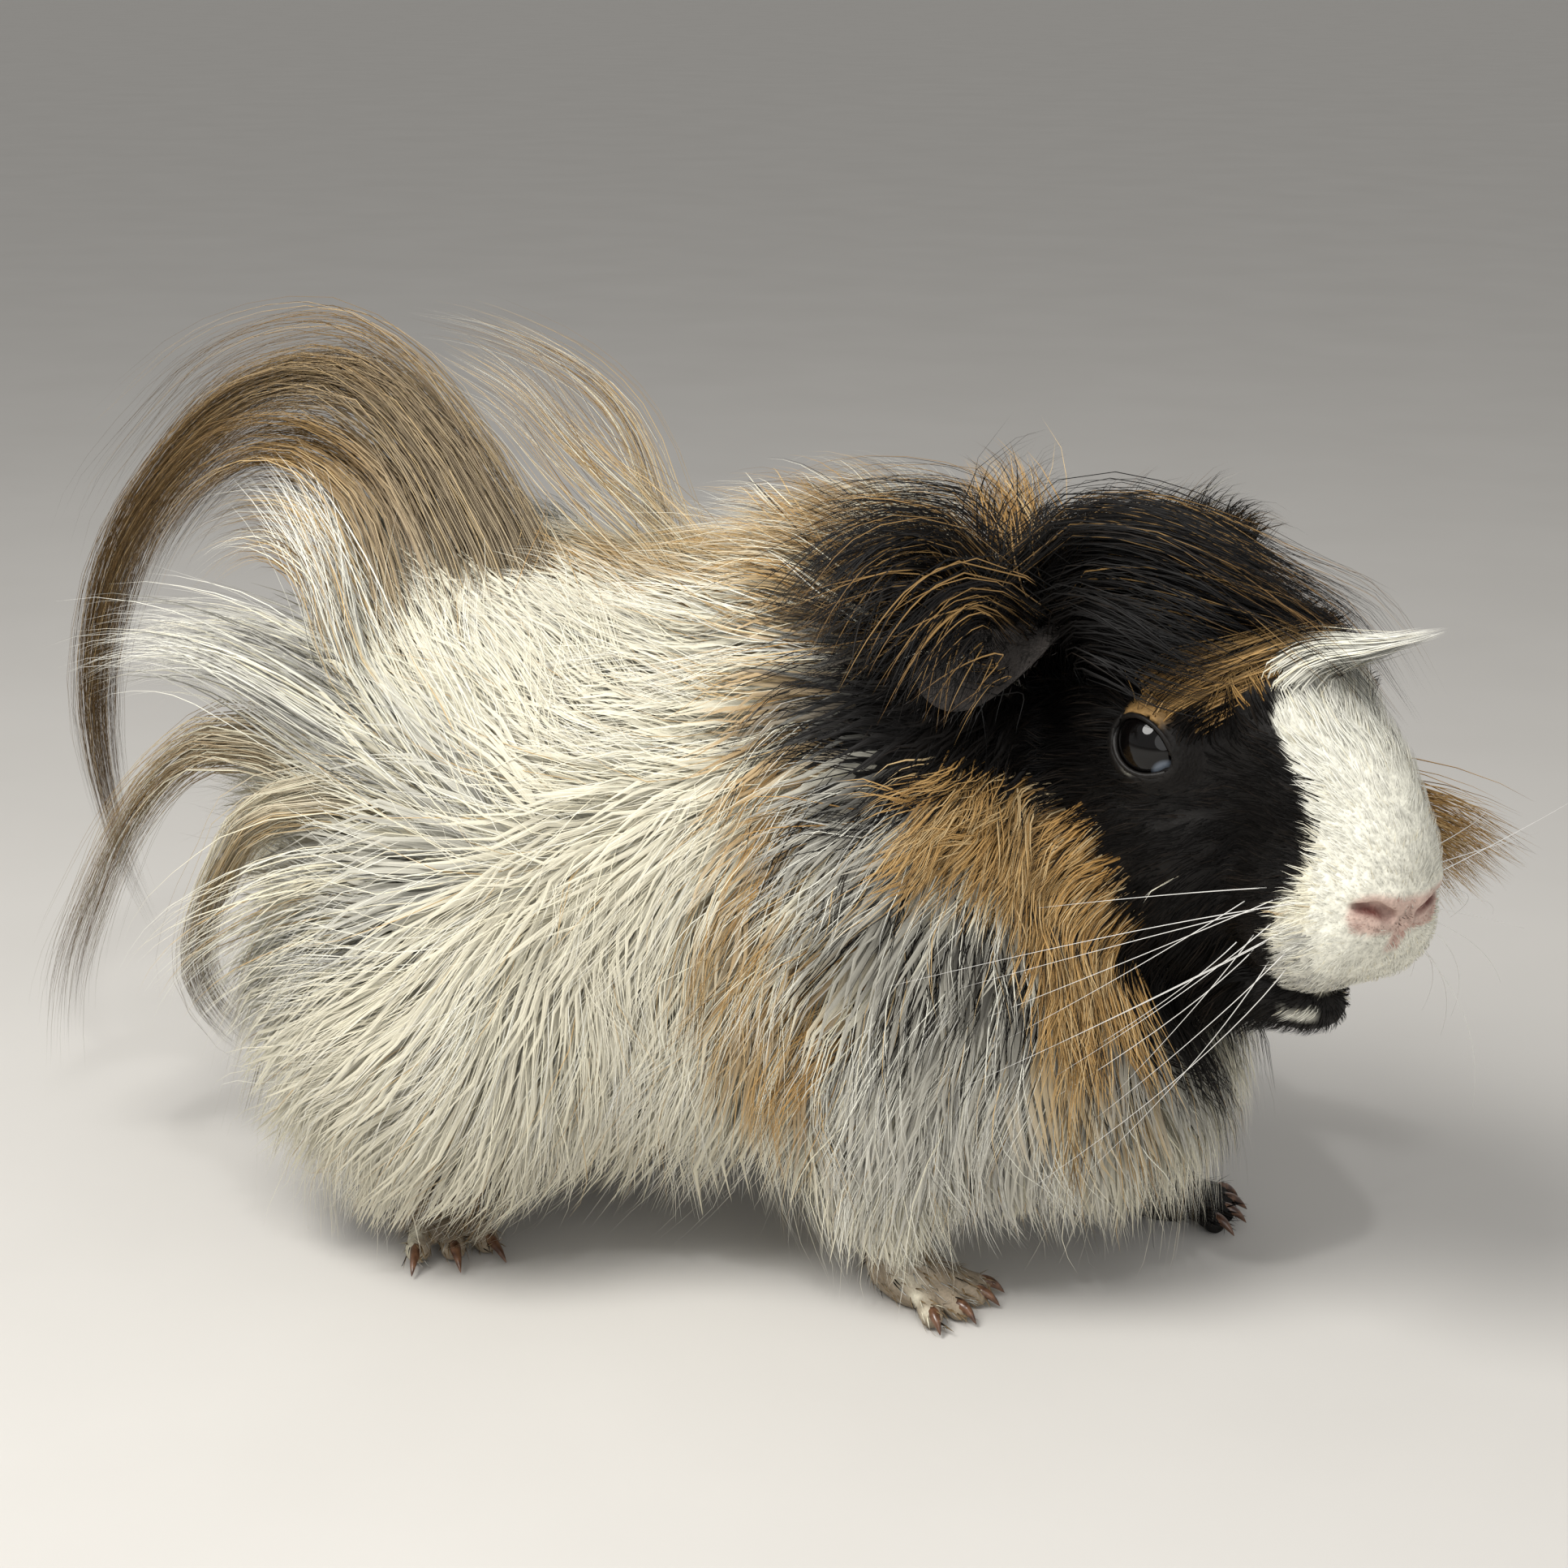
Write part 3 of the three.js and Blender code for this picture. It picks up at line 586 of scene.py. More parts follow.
def comb(points, slab=6000):
    """Lie, length, lift and depth of the coat: the mean of the rows, weighed by a bell curve.

    weight = exp(-d^2 / (2 reach^2)) / reach, where d is the distance to the row's place. Each
    rosette adds strength exp(-(gap / reach)^2) times its swirl to the lie.
    """
    lies, facts = [], []
    for start in range(0, len(points), slab):
        part = points[start:start + slab]
        square = np.sum((part[:, None] - COMB_PLACES) ** 2, axis=-1)
        weight = np.exp(-square / (2 * COMB_NUMBERS[:, 3] ** 2)) / COMB_NUMBERS[:, 3]
        weight += FAR_WEIGHT / (square + 1)
        total = weight.sum(axis=1, keepdims=True)
        facts.append(weight @ COMB_NUMBERS[:, :3] / total)
        lie = weight @ COMB_LIES / total
        for place, reach, strength in WHORLS:
            away = part - place
            gap = np.linalg.norm(away, axis=1, keepdims=True)
            swirl = away + SWIRL_ROUND * np.cross(unit(np.array(place) - BODY_MIDDLE), away)
            lie = lie + strength * np.exp(-((gap / reach) ** 2)) * swirl / np.maximum(gap, 3)
        lies.append(lie)
    lie = unit(np.concatenate(lies) + WANDER * waver(points, WANDER_WAVE, 5))
    facts = np.concatenate(facts)
    return lie, facts[:, 0], facts[:, 1], facts[:, 2]


# ---------------------------------------------------------------- markings


def rgb(code):
    """A colour written as six hexadecimal digits, as the shader's linear values."""
    values = np.array([int(code[place:place + 2], 16) for place in (0, 2, 4)]) / 255
    return np.where(values <= 0.04045, values / 12.92, ((values + 0.055) / 1.055) ** 2.4)


# Kinds of hair: its colour at the root, halfway and at the tip.
HAIRS = {
    "cream": ("d8d0b6", "eae4cc", "f2eddd"),
    "white": ("d8d6c8", "e8e6d8", "f2f0e6"),
    "tan": ("cdbb98", "c6a97a", "d3b98c"),
    "grey": ("8b8a84", "b2b0a9", "d8d6cd"),
    "slate": ("4a4944", "6e6c65", "a4a298"),
    "silver": ("b7b5aa", "cfcdc1", "47433a"),
    "black": ("090807", "0d0b0a", "060505"),
    "soot": ("1a1613", "251f1a", "14110e"),
    "orange": ("94703f", "b08a54", "c9a670"),
    "rust": ("5c472c", "84683f", "9a7c50"),
    "gilt": ("2a2018", "8f7146", "6a5030"),
    "rose": ("b58d80", "cba79a", "dcc4b8"),
    "wine": ("5a342f", "70443e", "8c5c54"),
    "ticked": ("cbab7c", "b08a56", "2a1e16"),
    "golden": ("bfb49c", "957950", "755a35"),
    "brown": ("a09480", "6c5534", "4f3d25"),
    "dusk": ("ddd6c2", "c4b290", "5c4528"),
    "sand": ("5f4c38", "8d7655", "b09a78"),
    "down": ("2b2827", "4a4644", "6a6562"),
}
# Markings: the share of each kind of hair that grows there.
MARKINGS = {
    "cream": (("cream", 0.74), ("white", 0.22), ("tan", 0.04)),
    "white": (("white", 0.88), ("cream", 0.12)),
    "lilac": (("grey", 0.42), ("white", 0.33), ("cream", 0.17), ("slate", 0.08)),
    "tan": (("tan", 0.40), ("cream", 0.30), ("golden", 0.22), ("brown", 0.08)),
    "collar": (("tan", 0.32), ("orange", 0.28), ("ticked", 0.16), ("cream", 0.17), ("black", 0.07)),
    "roan": (("white", 0.21), ("grey", 0.20), ("silver", 0.19), ("black", 0.27), ("soot", 0.09),
             ("tan", 0.04)),
    "fawn": (("tan", 0.42), ("orange", 0.28), ("cream", 0.22), ("ticked", 0.08)),
    "inside": (("wine", 1.0),),
    "night": (("black", 0.55), ("soot", 0.2), ("silver", 0.15), ("grey", 0.1)),
    "pink": (("rose", 0.8), ("white", 0.2)),
    "smoke": (("white", 0.42), ("grey", 0.26), ("silver", 0.18), ("slate", 0.08), ("tan", 0.06)),
    "black": (("black", 0.86), ("soot", 0.14)),
    "brindle": (("black", 0.70), ("soot", 0.12), ("gilt", 0.13), ("rust", 0.05)),
    "brow": (("orange", 0.34), ("rust", 0.34), ("ticked", 0.14), ("black", 0.18)),
    "tuft": (("orange", 0.5), ("tan", 0.2), ("ticked", 0.2), ("black", 0.1)),
    "orange": (("orange", 0.42), ("rust", 0.16), ("tan", 0.20), ("ticked", 0.13), ("soot", 0.09)),
    "amber": (("orange", 0.66), ("tan", 0.22), ("rust", 0.12)),
    "golden": (("golden", 0.50), ("brown", 0.38), ("tan", 0.12)),
    "paw": (("sand", 0.62), ("grey", 0.22), ("silver", 0.06), ("soot", 0.10)),
    "ear": (("down", 0.7), ("soot", 0.3)),
    "tail": (("cream", 0.15), ("golden", 0.55), ("dusk", 0.30)),
    "curl": (("cream", 0.34), ("dusk", 0.50), ("tan", 0.16)),
}
# Patches on the body, each a capsule: marking, its two ends and its radius. Later ones win.
BODY_PATCHES = [
    ("lilac", (-52, -44, 94), (-56, -48, 80), 11),
    ("lilac", (-66, -48, 60), (-60, -52, 70), 8),
    # Painted shade: grey hair laid in the hollow between the rump's curl and the haunch, where shade
    # falls.
    ("smoke", (-70, -44, 74), (-77, -40, 58), 9),
    ("fawn", (-2, -8, 126), (-34, -6, 128), 12),
    ("tan", (4, -50, 62), (8, -48, 44), 7),
    ("collar", (8, -4, 134), (8, -34, 118), 8),
    ("collar", (8, -34, 118), (9, -48, 91), 7),
    ("collar", (9, -48, 91), (11, -51, 60), 6.5),
    ("collar", (13, -48, 50), (20, -44, 34), 8),
    ("roan", (23, -46, 92), (26, -49, 74), 11),
    ("roan", (30, -48, 70), (38, -46, 46), 13),
    ("roan", (46, -42, 64), (54, -40, 48), 10),
    ("smoke", (30, -44, 32), (66, -26, 34), 12),
    ("brindle", (24, -26, 124), (48, -16, 132), 13),
    ("brindle", (20, -34, 116), (34, -34, 112), 10),
    ("night", (17, -38, 106), (32, -42, 96), 10),
    ("black", (29, -36, 103), (42, -30, 98), 13),
    ("black", (42, -28, 100), (54, -30, 104), 16),
    ("black", (50, -30, 98), (60, -28, 76), 11),
    ("night", (64, -34, 50), (78, -20, 44), 8),
    ("roan", (70, -28, 40), (88, -8, 36), 9),
    ("tan", (58, -38, 38), (70, -32, 34), 7),
    ("black", (66, -24, 68), (78, -14, 62), 9),
    ("paw", (-66, -12, 2), (-44, -36, 2), 11),
    ("paw", (25, -20, 0), (46, -32, 0), 11),
    ("paw", (-68, 18, 2), (-46, 40, 2), 12),
    ("black", (60, 20, 4), (80, 24, 4), 13),
    ("black", (47, -41, 68), (53, -39, 54), 4.5),
    ("tuft", (36, -2, 142), (34, 0, 132), 6),
    ("collar", (8, 0, 134), (6, 34, 118), 11),
    ("orange", (6, 44, 104), (-6, 50, 88), 13),
    ("roan", (30, 44, 88), (36, 48, 60), 14),
    ("black", (32, 34, 112), (40, 42, 96), 13),
    ("lilac", (-58, 44, 84), (-62, 36, 66), 12),
    ("smoke", (40, 46, 40), (66, 20, 36), 12),
]
# Patches on the head, in the head's frame: those under the cheek's band, then those over it.
HEAD_PATCHES = [
    ("black", (-16, 0, 6), (4, 0, -4), 28),
    ("black", (-6, -20, -14), (0, -15, -32), 14),
    ("black", (8, -8, -20), (10, -4, -44), 14),
    ("black", (8, 8, -20), (10, 8, -40), 14),
    ("black", (20, 0, -39), (30, 0, -43), 9),
    ("black", (20, -12, -12), (24, -10, -32), 9),
    ("black", (20, 12, -12), (24, 10, -32), 9),
    ("brindle", (-24, -3, 22), (-2, 0, 26), 11),
]
HEAD_PATCHES_OVER = [
    ("brow", (1, -22, 7.5), (12, -11.5, 18), 4.0),
    ("orange", (4, 20, 10), (13, 11, 20), 3.4),
    ("orange", (12, 20, -16), (0, 26, -24), 11),
]
# The bare-looking nose, its cleft and the dark line of the mouth, which is painted shade, over
# everything else.
FACE_MARKS = [
    # Partly greyish hair and partly painted shade: the near side of the lower muzzle, greyed where it
    # lies in shade.
    ("lilac", (32, -12, -26), (37, -5, -28.5), 3.8),
    ("lilac", (31.5, -13, -20), (33, -11, -28), 3.4),
    ("pink", (40, -7.0, -13.2), (40, 7.0, -13.2), 3.4),
    ("pink", (40, 0, -14), (39, 0, -19), 1.6),
    ("inside", (40.1, -3.2, -13.4), (38.2, -7.7, -12.3), 1.0),
    ("inside", (40.1, 3.2, -13.4), (38.2, 7.7, -12.3), 1.0),
    ("black", (34, 0, -35.0), (22, 0, -38.5), 5.0),
    # Painted shade: black hair along the crease of the mouth on each side, where the gap under the
    # muzzle lies in shade.
    ("black", (27.5, -9.6, -33.8), (34.5, -5, -31.0), 1.9),
    ("black", (27.5, 9.6, -33.8), (34.5, 5, -31.0), 1.9),
    ("white", (33.0, -3.0, -33.8), (26.2, -8.2, -36.8), 1.3),
    ("pink", (31.5, -4.6, -32.5), (28.5, -7.3, -33.4), 0.6),
]
# The right cheek's orange band, from behind the jaw round to the throat: the middle of what
# shows of it, and the line in the fold of the neck that its hair grows from.
CHEEK_BAND = [(34, -42, 83), (43, -37, 86), (51, -32, 80), (57, -31, 71), (60, -32, 62), (59, -36, 54)]
CHEEK_BAND_RADII = [6.0, 7.5, 7.5, 7.0, 6.5, 6.0]
RUFF_ROOTS = [(41, -31, 92), (47, -26, 88), (53, -24, 80), (58, -24, 70), (59, -26, 63)]

# The white blaze lies in front of this line: how far forward less how far sideways, by height.
BLAZE_HEIGHTS = [-32.5, -30.5, -24.5, -13.5, -4.5, 3.5, 9.5, 14, 18.5, 24]
BLAZE_EDGES = [60, 18, 20, 20, 19, 13, 6.5, 6.5, 9, 14]


def patches_at(points):
    """(marking, share) of every patch in turn, where share runs from 0 outside to 1 inside."""
    head_points = to_head(points)
    rough = 1.6 * waver(points, 9, 11)[:, 0] + 0.8 * waver(points, 3.5, 12)[:, 0]
    for marking, start, end, radius in BODY_PATCHES:
        yield marking, smooth(3.2, -3.2, capsule(points, start, end, radius) + 2 * rough)
    for marking, start, end, radius in HEAD_PATCHES:
        yield marking, smooth(1.8, -1.8, capsule(head_points, start, end, radius) + rough)
    for place in range(len(CHEEK_BAND) - 1):
        ends = CHEEK_BAND[place:place + 2]
        radii = CHEEK_BAND_RADII[place:place + 2]
        yield "orange", smooth(1.4, -1.4, capsule(points, *ends, *radii) + 0.8 * rough)
    for marking, start, end, radius in HEAD_PATCHES_OVER:
        yield marking, smooth(1.2, -1.2, capsule(head_points, start, end, radius) + 0.5 * rough)
    edge = np.interp(head_points[:, 2], BLAZE_HEIGHTS, BLAZE_EDGES)
    blaze = head_points[:, 0] - np.abs(head_points[:, 1]) - edge
    near = smooth(62, 56, np.linalg.norm(points - HEAD_AT, axis=1))
    yield "white", smooth(-0.9, 0.9, blaze + 0.4 * rough) * near
    for marking, start, end, radius in FACE_MARKS:
        yield marking, smooth(0.7, -0.7, capsule(head_points, start, end, radius))


def marking_of(points, chance):
    """The number of the marking that each strand has: a patch wins where chance is below its share."""
    names = list(MARKINGS)
    chosen = np.full(len(points), names.index("cream"))
    for marking, share in patches_at(points):
        chosen = np.where(chance < share, names.index(marking), chosen)
    return chosen


def skin_colours(points):
    """The markings as an even colour: each patch's mean hair, laid over those before it."""
    means = {}
    for marking, mix in MARKINGS.items():
        means[marking] = sum(share * rgb(HAIRS[hair][1]) for hair, share in mix)
    colours = np.tile(means["cream"], (len(points), 1))
    for marking, share in patches_at(points):
        colours += (means[marking] - colours) * share[:, None]
    return colours


# The share of the way along a strand where it is most seen.
SEEN_SHARE = 0.6


def strand_colours(spots, along, lock_chance):
    """Root-to-tip colours of each strand, from the marking at its most seen spot.

    Strands of one lock share most of their chance, so that the hairs of a colour keep together.
    """
    own = rng.random(len(spots))
    marking = marking_of(spots, np.clip(0.5 * lock_chance + 0.5 * own, 0.02, 0.98))
    return hair_colours(marking, along, lock_chance)


def marked_colours(marking, count, along, lock_chance):
    """Colours along strands that all have one marking."""
    return hair_colours(np.full(count, list(MARKINGS).index(marking)), along, lock_chance)


def hair_colours(marking, along, lock_chance):
    """Colours along strands of known markings: a kind of hair is drawn for each from the mix."""
    count = len(marking)
    pick = np.mod(lock_chance * 7.31 + 0.6 * rng.random(count), 1)
    table = np.array([[rgb(code) for code in codes] for codes in HAIRS.values()])
    hair_names = list(HAIRS)
    kind = np.zeros(count, int)
    for number, mix in enumerate(MARKINGS.values()):
        here = marking == number
        ends = np.cumsum([share for _, share in mix])
        place = np.minimum(np.searchsorted(ends, pick[here]), len(mix) - 1)
        kind[here] = np.array([hair_names.index(hair) for hair, _ in mix])[place]
    stops = table[kind]
    along = along[None, :, None]
    first = stops[:, None, 0] + (stops[:, None, 1] - stops[:, None, 0]) * np.clip(along * 2, 0, 1)
    colours = first + (stops[:, None, 2] - stops[:, None, 1]) * np.clip(along * 2 - 1, 0, 1)
    shade = 1 + 0.06 * rng.normal(size=(count, 1, 1))
    return np.clip(colours * shade, 0.002, 0.95)


# ---------------------------------------------------------------- meshes and materials


def placed(name, data):
    """A new object with its data, in the scene."""
    thing = bpy.data.objects.new(name, data)
    bpy.context.collection.objects.link(thing)
    return thing


def new_mesh(name, points, face_groups, material, colours=None, grain=None, patch=None, slot=None,
             normals=None):
    """A piece of the model from arrays.

    points are millimetres in the animal's frame; face_groups are arrays of triangles or quads;
    colours, grain, patch and normals are given per point. patch becomes the UV map OFBake.
    """
    mesh = bpy.data.meshes.new(name)
    mesh.vertices.add(len(points))
    mesh.vertices.foreach_set("co", ((points + SHIFT) * MM).astype(np.float32).ravel())
    corners = np.concatenate([faces.ravel() for faces in face_groups]).astype(np.int32)
    sizes = np.concatenate([np.full(len(faces), faces.shape[1]) for faces in face_groups])
    mesh.loops.add(len(corners))
    mesh.loops.foreach_set("vertex_index", corners)
    mesh.polygons.add(len(sizes))
    mesh.polygons.foreach_set("loop_start", (np.cumsum(sizes) - sizes).astype(np.int32))
    mesh.polygons.foreach_set("use_smooth", np.ones(len(sizes), bool))
    mesh.update(calc_edges=True)
    for label, values in (("coat", colours), ("grain", grain)):
        if values is not None:
            rows = np.ones((len(points), 4), np.float32)
            rows[:, :values.shape[1]] = values
            mesh.attributes.new(label, "FLOAT_COLOR", "POINT").data.foreach_set("color", rows.ravel())
    if normals is not None:
        own = mesh.attributes.new("custom_normal", "FLOAT_VECTOR", "POINT")
        own.data.foreach_set("vector", normals.astype(np.float32).ravel())
    if patch is not None:
        layer = mesh.uv_layers.new(name="OFBake")
        layer.data.foreach_set("uv", patch[corners].astype(np.float32).ravel())
    mesh.materials.append(material)
    piece = placed(name, mesh)
    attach(piece, "root")
    return piece


class Shader:
    """A material under construction: its node tree and its Principled shader."""

    def __init__(self, name, **values):
        """values are the shader's own inputs, with _ for each space of their names."""
        self.material = bpy.data.materials.new(name)
        self.material.use_nodes = True
        self.tree = self.material.node_tree
        self.surface = self.tree.nodes["Principled BSDF"]
        for socket, value in values.items():
            self.surface.inputs[socket.replace("_", " ")].default_value = value

    def add(self, kind, links=(), **settings):
        """A new node; links name its sockets and what feeds them, settings its properties."""
        node = self.tree.nodes.new(kind)
        for name, value in settings.items():
            setattr(node, name, value)
        for socket, source in dict(links).items():
            if isinstance(source, bpy.types.NodeSocket):
                self.tree.links.new(source, node.inputs[socket])
            else:
                node.inputs[socket].default_value = source
        return node

    def feed(self, socket, source):
        """The source drives one input of the Principled shader."""
        self.tree.links.new(source, self.surface.inputs[socket])

    def place(self):
        """The place on the piece, in metres of the model's frame."""
        return self.add("ShaderNodeTexCoord").outputs["Object"]

    def noise(self, *layers, place=None):
        """The sum of noises, each with a scale and a detail."""
        place = place or self.place()
        total = None
        for scale, detail in layers:
            links = {"Vector": place, "Scale": scale, "Detail": detail}
            layer = self.add("ShaderNodeTexNoise", links).outputs[0]
            if total is None:
                total = layer
            else:
                total = self.add("ShaderNodeMath", {0: total, 1: layer}, operation="ADD").outputs[0]
        return total

    def ranged(self, value, start, end):
        """The value mapped evenly from one pair of ends to another."""
        links = {"Value": value, "From Min": start[0], "From Max": start[1]}
        links |= {"To Min": end[0], "To Max": end[1]}
        return self.add("ShaderNodeMapRange", links).outputs["Result"]

    def ramp(self, value, dark, pale, stops=(0.0, 1.0)):
        """A colour between dark and pale by the value."""
        node = self.add("ShaderNodeValToRGB", {"Fac": value})
        for element, colour, stop in zip(node.color_ramp.elements, (dark, pale), stops):
            element.position = stop
            element.color = (*colour, 1)
        return node.outputs["Color"]

    def shade_coat(self, value, start, end):
        """The mesh's own colour times a tone, which the value sets."""
        colour = self.add("ShaderNodeAttribute", attribute_name="coat").outputs["Color"]
        links = {0: colour, "Scale": self.ranged(value, start, end)}
        mixed = self.add("ShaderNodeVectorMath", links, operation="SCALE")
        self.feed("Base Color", mixed.outputs["Vector"])

    def bump(self, height, strength, depth):
        """Small relief; the depth is in metres."""
        links = {"Strength": strength, "Distance": depth, "Height": height}
        self.feed("Normal", self.add("ShaderNodeBump", links).outputs["Normal"])


# Fine hairs drawn on a strand: how many across a millimetre, how often they change along it, and
# how far apart two strands' patterns are.
HAIR_LINES = (5.5, 1.6, 61.0)


def coat_material(name, roughness, gloss, contrast):
    """Hair: the strand's own colour, with fine lighter and darker hairs drawn along it.

    The grain attribute holds the way across the strand in millimetres, the share of the way
    along it and the strand's own number, so that the lines have one fineness on every strand.
    """
    shader = Shader(name, Roughness=roughness, Specular_IOR_Level=gloss)
    grain = shader.add("ShaderNodeAttribute", attribute_name="grain").outputs["Vector"]
    stretched = shader.add("ShaderNodeVectorMath", {0: grain, 1: HAIR_LINES}, operation="MULTIPLY")
    lines = shader.noise((1.0, 2.0), place=stretched.outputs[0])
    shader.shade_coat(lines, (0.34, 0.62), (1 - contrast, 1 + contrast * 0.35))
    shader.bump(lines, 0.4, 0.0002)
    return shader.material


def skin_material():
    """Skin under the coat: its markings, broken into fine lying hair."""
    shader = Shader("skin under the coat", Roughness=0.62, Specular_IOR_Level=0.25)
    hairs = shader.noise((1900.0, 3.0), (420.0, 2.0))
    shader.shade_coat(hairs, (0.7, 1.3), (0.72, 1.12))
    shader.bump(hairs, 0.5, 0.0003)
    return shader.material


def speckled(name, noises, dark, pale, stops=(0.0, 1.0), relief=None, **values):
    """A material that wanders between two colours, with relief (strength, depth) where it's given."""
    shader = Shader(name, **values)
    speckle = shader.noise(*noises)
    shader.feed("Base Color", shader.ramp(speckle, dark, pale, stops))
    if relief:
        shader.bump(speckle, *relief)
    return shader.material


# ---------------------------------------------------------------- growing the coat


def scattered(weights, count):
    """Roots spread over the skin: stratified draws of quads by weight, then a place in each."""
    corners = skin_points[skin_quads]
    diagonal = np.cross(corners[:, 2] - corners[:, 0], corners[:, 3] - corners[:, 1])
    area = np.linalg.norm(diagonal, axis=1) / 2
    total = np.cumsum(area * weights)
    draws = (np.arange(count) + rng.random(count)) / count * total[-1]
    quads = np.minimum(np.searchsorted(total, draws), len(skin_quads) - 1)
    across, over = rng.random((2, count, 1))
    chosen = corners[quads]
    near = chosen[:, 0] + (chosen[:, 1] - chosen[:, 0]) * across
    far = chosen[:, 3] + (chosen[:, 2] - chosen[:, 3]) * across
    order = rng.permutation(count)
    return (near + (far - near) * over)[order]


def nearest(points, targets, slab=2000):
    """For each point, the number of the target that lies nearest."""
    found = np.empty(len(points), int)
    squares = np.sum(targets**2, axis=1)
    for start in range(0, len(points), slab):
        part = points[start:start + slab]
        found[start:start + slab] = np.argmin(squares - 2 * part @ targets.T, axis=1)
    return found


# How deep a strand roots under the skin, and how clear it then stays of skin and floor.
ROOT_DEPTH = 0.3
SKIN_GAP = 0.25
FLOOR_GAP = 0.4
# The share of its heading that a strand gives up for the lie of the coat at every step, the share
# of its wrong height that it makes good, and the most that it moves in or out, in steps.
FOLLOW = 0.45
HEIGHT_PULL = 0.6
MOST_IN = 0.12
MOST_OUT = 0.75


def grown(roots, lengths, lifts, depths, turns, steps, droop):
    """The path of each strand, in equal steps from its root.

    At every step the heading keeps most of itself, turns towards the lie of the coat and droops;
    the lie is read anew at every other step. A lie that points into the flesh is laid flat on
    it, one that leads away only half. The strand is then moved towards its height over the
    flesh, depth (1 - (1 - t)^2): outwards as fast as it needs, inwards only a little, so that
    long ends hang free.
    """
    _, out = ground.read(roots)
    lie = comb(roots)[0]
    lie = unit(lie - dot(lie, out) * out)
    side = np.cross(out, lie)
    lie = lie * np.cos(turns)[:, None] + side * np.sin(turns)[:, None]
    heading = unit(lie * np.cos(lifts)[:, None] + out * np.sin(lifts)[:, None])
    stride = (lengths / steps)[:, None]
    paths = [roots - out * ROOT_DEPTH]
    spot = roots
    for step in range(1, steps + 1):
        share = step / steps
        lie = comb(spot)[0] if step % 2 else lie
        into = dot(lie, out)
        along = unit(lie - np.where(into < 0, 1.0, 0.5) * into * out)
        along = along * np.cos(turns)[:, None] + np.cross(out, along) * np.sin(turns)[:, None]
        fall = np.array([0, 0, -1.0]) * (droop * share)[:, None]
        heading = unit(heading * (1 - FOLLOW) + along * FOLLOW + fall)
        spot = spot + heading * stride
        height, out = ground.read(spot)
        wanted = depths[:, None] * (1 - (1 - share) ** 2)
        move = HEIGHT_PULL * (wanted - height)
        spot = spot + out * np.clip(move, -MOST_IN * stride, MOST_OUT * stride)
        spot = spot + out * np.maximum(SKIN_GAP - height, 0)
        spot[:, 2] = np.maximum(spot[:, 2], FLOOR_GAP)
        paths.append(spot)
    return np.stack(paths, axis=1)


# The side of each strand's square on the OFBake map, the cell that keeps it apart, and the share
# of the square that it fills.
PATCH = 0.003
PATCH_CELL = PATCH * 1.1
PATCH_FILL = 0.96
SETTLING_ROUNDS = 14
# A prime above any number of cells in a row, so that each cell has a key of its own.
ROW_KEY = 100003


def settled(patches, cell):
    """Patches moved to neighbouring cells of a square grid until hardly any share one."""
    spots = np.round(patches / cell).astype(int)
    source = np.random.default_rng(3)
    for _ in range(SETTLING_ROUNDS):
        keys = spots[:, 0] * ROW_KEY + spots[:, 1]
        order = np.argsort(keys, kind="stable")
        repeated = np.zeros(len(spots), bool)
        repeated[order[1:]] = keys[order[1:]] == keys[order[:-1]]
        spots[repeated] += source.integers(-2, 3, (repeated.sum(), 2))
    return np.clip(spots * cell, 0, 1 - cell)


def unwrapped(roots, axis_height=66, back=-90, length=210):
    """Places on an unwrap of the body: the angle round its long axis, and the way along it."""
    angle = np.arctan2(roots[:, 1], roots[:, 2] - axis_height) / (2 * np.pi) + 0.5
    along = (roots[:, 0] - back) / length
    return np.clip(np.stack([angle, along], axis=1), 0.004, 0.996)


def unwrapped_head(roots):
    """Places on an unwrap of the head: the angle round the line to the nose, and the way along."""
    return unwrapped(to_head(roots), axis_height=-9, back=-45, length=90)


# How far the normals of a combed strand are tipped to either side.
NORMAL_TIP = 0.4


